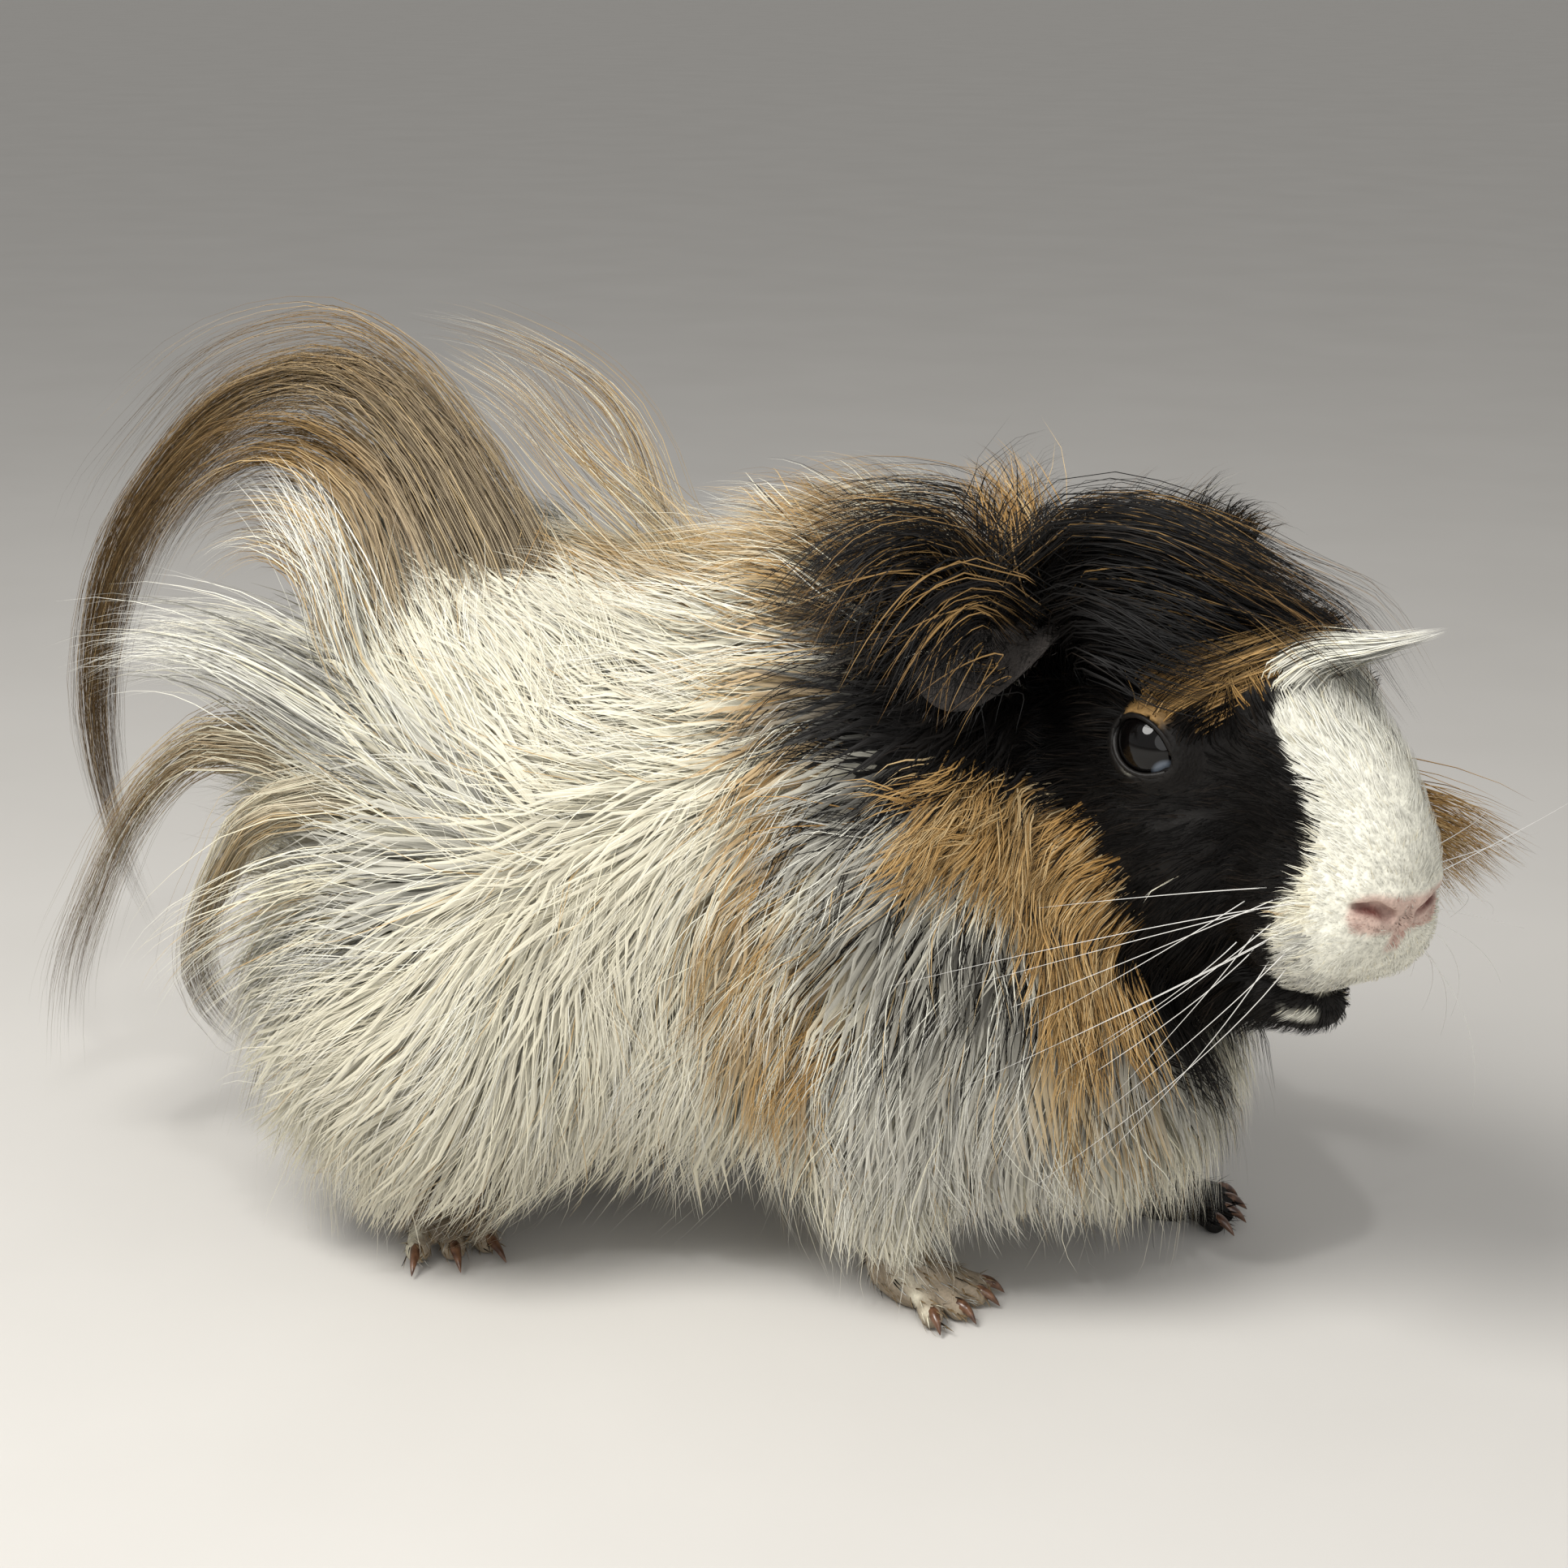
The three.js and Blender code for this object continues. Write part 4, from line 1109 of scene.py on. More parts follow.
def strands(name, paths, widths, colours, patches, material, slot, flat=0.22, out=None, lying=0.0):
    """Closed tapering strands in one mesh.

    A strand is a three-sided profile carried along its path, with its broad side to the skin:
    left and right lie at +-width / 2 along (heading x outward), the ridge at flat * width.
    It ends in a point, and a triangle closes its root. Where lying is above 0 the normals are
    those of combed fur: that share of the way from the strand's own ridge to the skin's slope,
    tipped by NORMAL_TIP to either side.
    """
    count, rings = paths.shape[:2]
    heading = unit(np.gradient(paths, axis=1))
    if out is None:
        out = ground.read(paths.reshape(-1, 3))[1].reshape(paths.shape)
    across = unit(np.cross(heading, out))
    ridge = np.cross(across, heading)
    half = widths[..., None] / 2
    left = paths - across * half
    right = paths + across * half
    top = paths + ridge * (half * 2 * flat)
    body = np.stack([left, right, top], axis=2)[:, :-1]
    points = np.concatenate([body.reshape(count, -1, 3), paths[:, -1:]], axis=1)
    each = points.shape[1]
    start = (np.arange(count) * each)[:, None]
    ring = np.arange(rings - 2)[:, None] * 3
    side = np.arange(3)[None]
    after = (side + 1) % 3
    quads = np.stack([ring + side, ring + 3 + side, ring + 3 + after, ring + after], axis=-1)
    last = (rings - 2) * 3
    tip = np.stack([last + after[0], last + side[0], np.full(3, each - 1)], axis=-1)
    tips = np.concatenate([tip, [[0, 1, 2]]])
    face_groups = [
        (start[:, None] + tips[None]).reshape(-1, 3),
        (start[:, None] + quads.reshape(1, -1, 4)).reshape(-1, 4),
    ]
    share = np.linspace(0, 1, rings)
    grain = np.empty((count, rings, 3, 3))
    grain[..., 0] = np.array([0, 1, 0.5])
    grain[..., 1] = share[None, :, None]
    grain[..., 2] = rng.random((count, 1, 1))
    tint = np.repeat(colours[:, :, None], 3, axis=2)
    own = [values[:, :-1].reshape(count, -1, 3) for values in (grain, tint)]
    ends = [values[:, -1, 2:3] for values in (grain, tint)]
    grain, tint = [np.concatenate(pair, axis=1).reshape(-1, 3) for pair in zip(own, ends)]
    corner = np.repeat(settled(patches, PATCH_CELL), each, axis=0)
    uv = corner + PATCH * grain[:, :2] * PATCH_FILL
    grain[:, 0] *= np.repeat(widths.max(axis=1), each)
    normals = None
    if lying > 0:
        up = unit(ridge + (out - ridge) * lying)
        tip_over = NORMAL_TIP * across
        sides = np.stack([up - tip_over, up + tip_over, up], axis=2)[:, :-1]
        normals = np.concatenate([sides.reshape(count, -1, 3), up[:, -1:]], axis=1)
        normals = unit(normals.reshape(-1, 3))
    return new_mesh(
        name, points.reshape(-1, 3), face_groups, material, tint, grain, uv, slot, normals,
    )


def widths_along(base, rings, taper=1.6):
    """Widest a little way up: base (1 - t^taper) (1 - 0.18 exp(-14 t)), down to a point."""
    share = np.linspace(0, 1, rings)
    profile = (1 - share**taper) * (1 - 0.18 * np.exp(-share * 14))
    return base[:, None] * profile[None]


def in_pieces(name, regions, paths, widths, colours, patches, material, slots, limit, lying):
    """Strands sorted into named regions, each region parted until a piece is under the limit."""
    for number, region in enumerate(slots):
        chosen = np.flatnonzero(regions == number)
        if not len(chosen):
            continue
        parts = int(np.ceil(len(chosen) / limit))
        for part in range(parts):
            rows = chosen[part::parts]
            label = f"{name}_{region}" + (f"_{part + 1}" if parts > 1 else "")
            strands(label, paths[rows], widths[rows], colours[rows], patches[rows], material,
                    slots[region], lying=lying)


# ---------------------------------------------------------------- the coat's layers

# Weights of the skin's quads, from 0 to 1: facing is less under the belly, on_crown is the long
# hair on top of the head, foot_height leaves the feet to their own hair, and bare leaves free the
# eyes, the nostrils and the mouth's line.
centres = skin_points[skin_quads].mean(axis=1)
head_centres = to_head(centres)
body_gap = swollen(centres, BODY, BODY_BLEND)
facing = smooth(-0.9, -0.4, slope_of(flesh, centres)[:, 2])
on_crown = smooth(9, 13, head_centres[:, 2]) * smooth(6, 0, head_centres[:, 0])
on_head = (body_gap > 3.0) & (np.linalg.norm(centres - HEAD_AT, axis=1) < 60)
long_coat = np.where(on_head, on_crown, 1.0)
foot_height = smooth(13, 19, centres[:, 2])
bare = smooth(1.06, 1.2, np.minimum(eye_reach(head_centres, 1), eye_reach(head_centres, -1)))
for side in SIDES.values():
    bare *= smooth(0.4, 1.6, nostril(head_centres, side))
    bare *= smooth(0.1, 0.9, mouth_line(head_centres, side))

BODY_REGIONS = {
    "rump_right": "coat_cream", "rump_left": "coat_cream", "flank_right": "coat_cream",
    "flank_left": "coat_cream", "shoulder_right": "coat_roan", "shoulder_left": "coat_roan",
    "neck": "coat_orange", "chest": "coat_white",
}


# Where the regions end: along the body for the first three, and in height for the neck.
RUMP_END = -38
FLANK_END = 6
CHEST_START = 50
NECK_FOOT = 96


def body_region(roots):
    """The region of the coat that each root belongs to, by how far along and how high it is."""
    names = list(BODY_REGIONS)
    along, side, height = roots.T

    def on_side(part):
        """The number of a part's right or left region, for each root."""
        return np.where(side < 0, names.index(f"{part}_right"), names.index(f"{part}_left"))

    region = np.where(along < FLANK_END, on_side("flank"), on_side("shoulder"))
    region = np.where(along < RUMP_END, on_side("rump"), region)
    region[along > CHEST_START] = names.index("chest")
    region[(along >= FLANK_END) & (height > NECK_FOOT)] = names.index("neck")
    return region


def one_region(roots):
    """Every root in the first region."""
    return np.zeros(len(roots), int)


# How far a strand sways from side to side, as a share of its length, and how often.
SWAY = 0.055
SWAY_TURN = 5.5


def coat_layer(name, roots, steps, width, lock_size, pull, material, regions, slots, unwrap,
               length=1.0, depth=(0.45, 1.0), spread=9.0, lift=1.0, limit=5000, marking=None,
               lying=0.6):
    """One layer of the coat: strands grown from the roots, gathered into locks and coloured.

    length, depth and lift are times what the comb's rows say, spread is in degrees, and pull is
    how far a strand's tip is drawn to its lock's leader. A marking takes the place of those
    where the strands stand; "even" is the skin's own even colour.
    """
    count = len(roots)
    _, lengths, lifts, depths = comb(roots)
    leaders = roots[:max(count // lock_size, 1)]
    lock = nearest(roots, leaders)
    lock_turn, lock_reach = rng.normal(size=(2, len(leaders)))
    lock_chance = rng.random(len(leaders))
    turns = np.radians(spread) * (0.8 * lock_turn[lock] + 0.45 * rng.normal(size=count))
    lengths = lengths * length * (1 + 0.12 * lock_reach[lock]) * rng.uniform(0.72, 1.08, count)
    lifts = np.radians(lifts) * lift * rng.uniform(0.7, 1.25, count)
    depths = depths * rng.uniform(*depth, count)
    droop = 0.05 + 0.10 * smooth(10, 28, lengths)
    paths = grown(roots, lengths, lifts, depths, turns, steps, droop)
    phase = 2 * np.pi * rng.random(len(leaders))[lock][:, None]
    share = np.linspace(0, 1, steps + 1)
    sway = np.sin(phase + SWAY_TURN * share) - np.sin(phase)
    across = unit(np.cross(paths[:, -1] - paths[:, 0], roots - BODY_MIDDLE))
    paths = paths + across[:, None] * (SWAY * lengths[:, None] * sway)[..., None]
    gather = pull * rng.uniform(0.55, 1.1, len(leaders))[lock][:, None] * share**1.3
    paths = paths + (paths[:len(leaders)][lock] - paths) * gather[..., None]
    paths[..., 2] = np.maximum(paths[..., 2], FLOOR_GAP)
    base = rng.uniform(*width, count) * np.clip(lengths / 9, 0.35, 1.0) ** 0.5
    spots = paths[:, int(round(steps * SEEN_SHARE))]
    if marking == "even":
        colours = skin_colours(spots)[:, None] * np.linspace(0.8, 1.0, steps + 1)[None, :, None]
    elif marking:
        colours = marked_colours(marking, count, share, lock_chance[lock])
    else:
        colours = strand_colours(spots, share, lock_chance[lock])
    in_pieces(name, regions(roots), paths, widths_along(base, steps + 1), colours, unwrap(roots),
              material, slots, limit, lying)


silky = coat_material("long silky hair", 0.46, 0.14, 0.22)
velvet = coat_material("short face hair", 0.42, 0.07, 0.25)

on_body = (silky, body_region, BODY_REGIONS, unwrapped)
far_from_feet = foot_height * long_coat * (0.45 + 0.55 * facing)
coat_layer("undercoat", scattered(far_from_feet, 6800), 3, (0.9, 1.6), 6, 0.3, *on_body,
           length=0.9, depth=(0.74, 0.94), limit=11000, lying=0.9, marking="even")
coat_layer("coat", scattered(far_from_feet, 24800), 4, (0.14, 0.28), 16, 0.4, *on_body,
           depth=(0.84, 1.04), spread=16, lift=0.85, limit=7000, lying=0.75)
coat_layer("guard", scattered(far_from_feet, 2300), 6, (0.12, 0.22), 3, 0.2, *on_body,
           length=1.2, depth=(0.9, 1.25), spread=24, lift=1.3, lying=0.4)
on_crest = smooth(108, 114, centres[:, 2]) * smooth(0, 8, centres[:, 0]) * long_coat
coat_layer("crest", scattered(on_crest, 900), 7, (0.2, 0.36), 9, 0.6, *on_body,
           length=1.15, depth=(1.0, 1.5), lift=1.5, spread=22, lying=0.3)
on_poll = smooth(16, 9, np.linalg.norm(centres - POLL_AT, axis=1))
coat_layer("poll", scattered(on_poll, 420), 6, (0.16, 0.3), 7, 0.4, silky, one_region,
           {"head": "coat_black"}, unwrapped, length=0.8, depth=(1.0, 1.5), lift=1.8, spread=34,
           lying=0.3)


def ruff_gap(points):
    """Distance to the line that the ruff of the orange band grows from."""
    lines = zip(RUFF_ROOTS, RUFF_ROOTS[1:])
    return np.min([capsule(points, start, end, 0.0) for start, end in lines], axis=0)


on_band = smooth(8.5, 6.5, ruff_gap(centres))
coat_layer("ruff", scattered(on_band, 1500), 4, (0.2, 0.4), 9, 0.5, silky, one_region,
           {"cheek": "coat_orange"}, unwrapped, length=0.95, depth=(0.9, 1.5), lift=1.4, spread=18,
           marking="orange")
blaze = head_centres[:, 0] - np.abs(head_centres[:, 1])
face_weight = np.where(on_head, 1.0 - on_crown, 0) * bare * (1 + smooth(12, 18, blaze))
coat_layer("coat", scattered(face_weight, 17800), 3, (0.15, 0.31), 9, 0.5, velvet, one_region,
           {"face": "coat_black"}, unwrapped_head, spread=10, depth=(0.6, 1.1), limit=12000, lying=0.4)

# ---------------------------------------------------------------- long locks


def curve_through(points, samples):
    """A Catmull-Rom curve through the points, sampled evenly by length."""
    points = np.asarray(points, float)
    padded = np.concatenate([2 * points[:1] - points[1:2], points, 2 * points[-1:] - points[-2:-1]])
    fine = []
    share = np.linspace(0, 1, 24, endpoint=False)[:, None]
    for before, start, end, after in zip(padded, padded[1:], padded[2:], padded[3:]):
        fine.append(0.5 * (
            2 * start + (end - before) * share
            + (2 * before - 5 * start + 4 * end - after) * share**2
            + (3 * start - before - 3 * end + after) * share**3
        ))
    fine = np.concatenate([*fine, points[-1:]])
    length = np.concatenate([[0], np.cumsum(np.linalg.norm(np.diff(fine, axis=0), axis=1))])
    even = np.linspace(0, length[-1], samples)
    return np.stack([np.interp(even, length, fine[:, axis]) for axis in range(3)], axis=1)


# How far up from the skin a lock's strands rise before they follow its guide, and the share of
# their length by which they do.
LOCK_RISE = 18
RISE_SHARE = 0.32


def lock_paths(guide, halves, count, steps, wisps, reach):
    """Long strands that rise from the skin into a lock and follow its guide.

    A strand keeps its place (a, b) in the lock's cross-section: guide + (a side + b over) half,
    where half runs from the first pair of half-sizes to the last. Its place is that of its wisp
    with a little of its own, and it wanders off by t^2 near the tip.
    """
    samples = 80
    line = curve_through(guide, samples)
    heading = unit(np.gradient(line, axis=0))
    side = unit(np.cross(heading, np.cross((0.0, 1.0, 0.0), heading)))
    over = np.cross(side, heading)
    knots = np.linspace(0, 1, len(halves))
    wisp = rng.integers(0, wisps, count)
    angle, radius = rng.uniform(0, 2 * np.pi, wisps), np.sqrt(rng.random(wisps)) * 0.85
    middle = np.stack([np.cos(angle) * radius, np.sin(angle) * radius], axis=1)
    place = middle[wisp] + 0.26 * rng.normal(size=(count, 2))
    ends = rng.uniform(*reach, count) * (1 - 0.14 * rng.random(wisps)[wisp])
    starts = rng.uniform(0.0, 0.10, count)
    share = np.linspace(0, 1, steps + 1)
    along = starts[:, None] + (ends - starts)[:, None] * share
    index = along * (samples - 1)

    def read(rows):
        """The rows between the guide's samples, for each step of each strand."""
        low = np.clip(index.astype(int), 0, samples - 2)
        part = (index - low)[..., None]
        return rows[low] * (1 - part) + rows[low + 1] * part

    wide = np.interp(along, knots, [half[0] for half in halves])
    thick = np.interp(along, knots, [half[1] for half in halves])
    drift = rng.normal(size=(wisps, 2))[wisp] * 0.5 + rng.normal(size=(count, 2)) * 0.45
    push = place[:, None] + drift[:, None] * share[None, :, None] ** 2
    paths = read(line) + read(side) * (push[..., :1] * wide[..., None])
    paths = paths + read(over) * (push[..., 1:] * thick[..., None])
    paths = paths + 0.5 * waver(paths, 30, 8) * share[None, :, None]
    roots = paths[:, 0]
    for _ in range(5):
        height, out = ground.read(roots)
        roots = roots - out * height
    rise = smooth(0.0, RISE_SHARE, share)[None, :, None]
    _, out = ground.read(roots)
    lifted = roots[:, None] + out[:, None] * (share[None, :, None] * LOCK_RISE)
    paths = lifted * (1 - rise) + paths * rise
    paths[..., 2] = np.maximum(paths[..., 2], 0.5)
    return paths, wisp / wisps


# Locks: guide, half-sizes across and through at even places, strands, steps, wisps, marking.
LOCKS = {
    "plume": (
        [(-42, -16, 103), (-46, -13, 115), (-50, -10, 125.5), (-57, -8, 136), (-66, -6, 143.5),
         (-78, -5, 147.5), (-92, -4, 145), (-105, -4, 136.5), (-116, -5, 124), (-124, -6, 108),
         (-128, -8, 90), (-127, -9, 72), (-122, -11, 56), (-114, -13, 42)],
        [(13, 11), (10, 7.5), (8, 5.5), (7, 4.5), (6.5, 4), (6, 3.5), (4, 2.4), (2.2, 1.4),
         (1.2, 0.8)],
        500, 17, 22, "golden"),
    "plume_wisps": (
        [(-42, -10, 112), (-47, -9, 126), (-55, -8, 139), (-66, -7, 149.5), (-80, -6, 155),
         (-97, -5, 151), (-112, -5, 141), (-125, -6, 126), (-132, -7, 108)],
        [(12, 10), (10, 6), (9, 5), (9, 4.5), (7, 5)], 80, 14, 24, "golden"),
    "plume_inner": (
        [(-56, -22, 98), (-60, -18, 112), (-64, -15, 124), (-71, -13, 132), (-81, -12, 137),
         (-92, -11, 136), (-104, -11, 128), (-114, -11, 114), (-120, -11, 98)],
        [(14, 10), (8, 6), (6, 5), (5, 4), (3, 3)], 300, 13, 9, "golden"),
    "plume_low": (
        [(-62, -24, 94), (-68, -20, 108), (-76, -17, 119), (-87, -15, 124), (-98, -14, 121),
         (-108, -14, 112)],
        [(13, 9), (8, 6), (7, 5), (5, 4)], 160, 10, 9, "tan"),
    "plume_front": (
        [(-18, 2, 118), (-23, 4, 131), (-30, 6, 142), (-41, 8, 150), (-56, 8, 156), (-72, 6, 159)],
        [(8, 5), (5, 4), (4, 3), (4, 3)], 60, 11, 8, "tan"),
    "plume_back": (
        [(-12, -2, 118), (-26, 0, 126), (-38, 0, 136), (-48, -2, 147), (-62, -2, 154)],
        [(10, 9), (8, 7), (6, 5), (4, 4)], 150, 10, 18, "tan"),
    "rump_rise": (
        [(-62, -26, 94), (-67, -25, 108), (-72, -23, 120), (-79, -21, 131), (-86, -20, 138)],
        [(16, 9), (13, 8), (9, 6), (5, 4)], 200, 8, 13, "smoke"),
    "back_fan": (
        [(-60, -26, 88), (-76, -25, 98), (-92, -22, 102), (-107, -20, 101), (-121, -18, 95)],
        [(17, 9), (16, 8), (13, 7), (11, 6)], 300, 9, 16, "lilac"),
    "rump_lock_left": (
        [(-66, 18, 86), (-82, 18, 92), (-96, 16, 84), (-106, 15, 68)],
        [(12, 8), (10, 7), (5, 4)], 200, 9, 8, "lilac"),
    "tail_lock": (
        [(-66, -30, 82), (-80, -29, 90), (-92, -27, 90), (-107, -22, 80), (-119, -19, 66),
         (-128, -16, 52), (-135, -14, 35), (-139, -11, 18), (-140, -9, 8)],
        [(11, 8), (8, 6), (6, 5), (5, 4.5), (4.5, 4), (4, 3.5), (3, 3)], 230, 14, 16, "tail"),
    "rump_curl": (
        [(-62, -42, 86), (-70, -40, 87), (-80, -38, 80), (-88, -36, 69), (-94, -34, 58),
         (-97, -33, 47), (-94, -32, 39), (-87, -31, 34), (-82, -31, 35)],
        [(6, 7), (5, 5), (3.4, 3.4), (2.8, 2.8), (2.4, 2.4), (2, 2)], 380, 12, 6, "curl"),
    "haunch_fan": (
        [(-54, -46, 68), (-68, -46, 63), (-81, -43, 54), (-90, -39, 43), (-95, -36, 34)],
        [(4, 12), (4, 11), (3, 9), (2, 6)], 240, 8, 14, "cream"),
    "heel_tuft": (
        [(-64, -24, 26), (-72, -27, 18), (-79, -27, 14), (-85, -26, 16)],
        [(5, 6), (4, 5), (2, 2.5)], 60, 6, 4, "tan"),
    "forelock": (
        [(44, -18, 119), (46.5, -18, 130), (57, -18, 134), (73, -20, 131), (88, -23, 125),
         (99, -26, 118.5), (109, -28, 107)],
        [(13, 7), (13, 5.5), (11, 4.5), (9, 4), (4, 2)], 400, 11, 18, "brindle"),
    "forelock_middle": (
        [(46, -22, 120), (53, -25, 129), (65, -28, 130.5), (77, -28.5, 127), (88, -28, 122),
         (97, -28, 116)],
        [(8, 9), (7, 8), (6, 7), (3, 3)], 280, 10, 16, "brindle"),
    "forelock_low": (
        [(47, -25, 117), (56, -30, 123), (66, -33, 122), (76, -33.5, 118), (85, -32.5, 115)],
        [(5, 9), (5, 8), (4, 7), (2, 3)], 240, 8, 14, "black"),
    "poll_lock": (
        [(44, -16, 121), (36, -15, 130), (24, -15, 132), (12, -15, 128), (2, -15, 121)],
        [(13, 9), (13, 8), (12, 7), (9, 5)], 320, 9, 16, "brindle"),
    "poll_side": (
        [(40, -22, 120), (31, -29, 124), (22, -35, 119), (14, -41, 110)],
        [(6, 11), (6, 11), (5, 9)], 220, 10, 16, "brindle"),
    "poll_fill": (
        [(46, -17, 119), (45, -15, 129), (46.5, -13, 136), (52, -12, 139)],
        [(10, 8), (10, 8), (9, 7), (7, 4)], 220, 8, 14, "brindle"),
    "poll_tuft": (
        [(42, -13, 121), (40, -12, 130), (36, -10, 138), (32, -9, 142)],
        [(9, 9), (9, 9), (7, 7), (5, 4)], 150, 6, 12, "tuft"),
    "ear_wisps": (
        [(45, -26, 119), (42, -38, 121), (38, -47, 115), (34, -51, 106)],
        [(3, 10), (2.5, 9.5), (2, 7)], 160, 12, 16, "brindle"),
    "brow_fan": (
        [(65, -33.5, 107), (73, -31.5, 111), (82, -29.5, 115), (91, -29, 119), (98, -30, 121)],
        [(1.2, 7), (1.2, 6), (1.2, 4), (1.2, 2.4), (1, 1.2)], 190, 6, 12, "brow"),
    "brow_tuft": (
        [(87, -27, 113), (92, -28.5, 117.5), (101, -31, 120.5), (112.5, -34, 125.5)],
        [(5, 6), (3.5, 3.4), (1.4, 1.1), (0.2, 0.2)], 210, 8, 14, "white"),
    "cheek_tuft": (
        [(86, 8, 80), (97, 9, 82), (109, 8, 79), (121, 5, 71)],
        [(5, 7), (5, 7), (4, 6)], 400, 6, 9, "amber"),
    "cheek_ruff": (
        [(66, 22, 98), (74, 25, 90), (80, 24, 77), (84, 20, 66)],
        [(9, 7), (8, 6), (5, 4)], 130, 7, 7, "brindle"),
}

# A slot name for each marking that a lock has, handed on with its strands.
LOCK_SLOTS = {
    "golden": "coat_golden", "tan": "coat_golden", "tail": "coat_golden", "curl": "coat_golden",
    "lilac": "coat_grey", "smoke": "coat_grey", "brindle": "coat_black", "black": "coat_black",
    "white": "coat_white", "cream": "coat_cream", "tuft": "coat_orange", "brow": "coat_orange",
    "amber": "coat_orange",
}
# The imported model's nodes that a lock replaces.
LOCK_NODES = {
    "plume": ("plume_root", "plume_rise", "plume_arch", "plume_fall"),
    "plume_inner": ("plume_inner_rise", "plume_inner_fall"),
    "plume_front": ("plume_front_rise",),
    "plume_back": ("plume_front_fall",),
    "back_fan": ("back_fan",),
    "rump_lock_left": ("rump_lock_left",),
    "tail_lock": ("tail_lock_rise", "tail_lock_fall", "tail_lock_tip"),
    "rump_curl": ("rump_curl_upper", "rump_curl_lower"),
    "forelock": ("forelock", "poll_crest"),
    "poll_lock": ("shoulder_crest",),
    "brow_tuft": ("brow_tuft",),
    "cheek_tuft": ("cheek_tuft_left",),
    "cheek_ruff": ("cheek_ruff_left",),
}
# Locks that stand clear of the body, shaded by their own strands alone.
LOOSE_LOCKS = ("cheek_tuft", "cheek_ruff", "rump_lock_left", "plume", "plume_wisps",
               "tail_lock", "rump_curl")
# How far along their guide the strands end, as shares of it: the usual, and those that differ.
USUAL_REACH = (0.78, 1.0)
LOCK_REACH = {"plume": (0.9, 1.0)}


def add_lock(name):
    """One long lock, coloured by its own marking."""
    guide, halves, count, steps, wisps, marking = LOCKS[name]
    reach = LOCK_REACH.get(name, USUAL_REACH)
    paths, wisp_chance = lock_paths(guide, halves, count, steps, wisps, reach)
    colours = marked_colours(marking, count, np.linspace(0, 1, steps + 1), wisp_chance)
    widths = widths_along(rng.uniform(0.13, 0.29, count), steps + 1, taper=3.0)
    lock = strands(f"{name}_hair", paths, widths, colours, unwrapped(paths[:, 0]), silky,
                   LOCK_SLOTS[marking], lying=0.0 if name in LOOSE_LOCKS else 0.4)
    if name in LOCK_NODES:
        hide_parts(*LOCK_NODES[name])


for lock_name in LOCKS:
    add_lock(lock_name)

skin = new_mesh("skin", skin_points, [skin_quads], skin_material(), skin_colours(skin_points),
                slot="coat_cream")
FLESH_NODES = [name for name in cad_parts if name.startswith((
    "head", "muzzle", "lower_jaw", "neck", "shoulders", "trunk", "rump", "haunch", "foreleg",
    "hindleg",
)) and not name.startswith("rump_")]
FLESH_NODES += list(FEET)
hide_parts(*FLESH_NODES)

# ---------------------------------------------------------------- eyes

# The pale wedge: its place out of, ahead of and above the eye's middle in millimetres, and the
# distances in metres at which it starts and is full.
WEDGE_AT = np.array([3.3, 4.9, -1.5])
WEDGE_EDGES = (0.0021, 0.0014)


def joined_rings(rings, sides, closed=False):
    """Quads between each ring of points and the next, and, if closed, from the last to the first."""
    row = np.arange(rings)[:, None] * sides
    following = np.roll(row, -1, axis=0)
    if not closed:
        row, following = row[:-1], following[:-1]
    here = np.arange(sides)[None]
    after = (here + 1) % sides
    quads = np.stack([row + here, row + after, following + after, following + here], axis=-1)
    return quads.reshape(-1, 4)


def capped_rings(rings, sides):
    """Faces of rings of points and the two points after them, which close both ends."""
    here = np.arange(sides)
    after = (here + 1) % sides
    top = (rings - 1) * sides
    low = np.full(sides, rings * sides)
    first = np.stack([after, here, low], axis=-1)
    last = np.stack([top + here, top + after, low + 1], axis=-1)
    return joined_rings(rings, sides), np.concatenate([first, last])


def ball(middle, radius, rings=40, sides=64):
    """A closed sphere: rings of latitude between two poles."""
    latitude = np.linspace(-np.pi / 2, np.pi / 2, rings + 1)[1:-1]
    longitude = np.linspace(0, 2 * np.pi, sides, endpoint=False)
    up, around = np.meshgrid(latitude, longitude, indexing="ij")
    level = np.cos(up)
    body = np.stack([level * np.cos(around), level * np.sin(around), np.sin(up)], axis=-1)
    points = np.concatenate([body.reshape(-1, 3), [[0, 0, -1], [0, 0, 1]]]) * radius + middle
    return points, capped_rings(rings - 1, sides)


def rings_round(path, radii, heading, first, sides):
    """A ring of points at each place of a path: path + radius (cos a u + sin a v).

    u is the first direction, and v is square to it and to the heading.
    """
    second = np.cross(heading, first)
    angle = np.linspace(0, 2 * np.pi, sides, endpoint=False)[None, :, None]
    ring = np.cos(angle) * first[:, None] + np.sin(angle) * second[:, None]
    return (path[:, None] + ring * radii[:, None, None]).reshape(-1, 3)


def tube(path, radii, sides=8):
    """A closed round tube along a path, with a point or a small cap at both ends."""
    heading = unit(np.gradient(path, axis=0))
    first = unit(np.cross(heading, (0, 0, 1.0)))
    body = rings_round(path, radii, heading, first, sides)
    return np.concatenate([body, path[:1], path[-1:]]), capped_rings(len(path), sides)


def loop_tube(path, radii, middle, sides=10):
    """A closed ring of tube round a middle."""
    heading = unit(np.roll(path, -1, axis=0) - np.roll(path, 1, axis=0))
    points = rings_round(path, radii, heading, unit(path - middle), sides)
    return points, joined_rings(len(path), sides, closed=True)


def joined(parts):
    """Several (points, groups of faces) as one: each part's face numbers move up."""
    moved, groups, start = [], [], 0
    for points, faces in parts:
        moved.append(points)
        groups.append([group + start for group in faces])
        start += len(points)
    return np.concatenate(moved), [np.concatenate(same) for same in zip(*groups)]


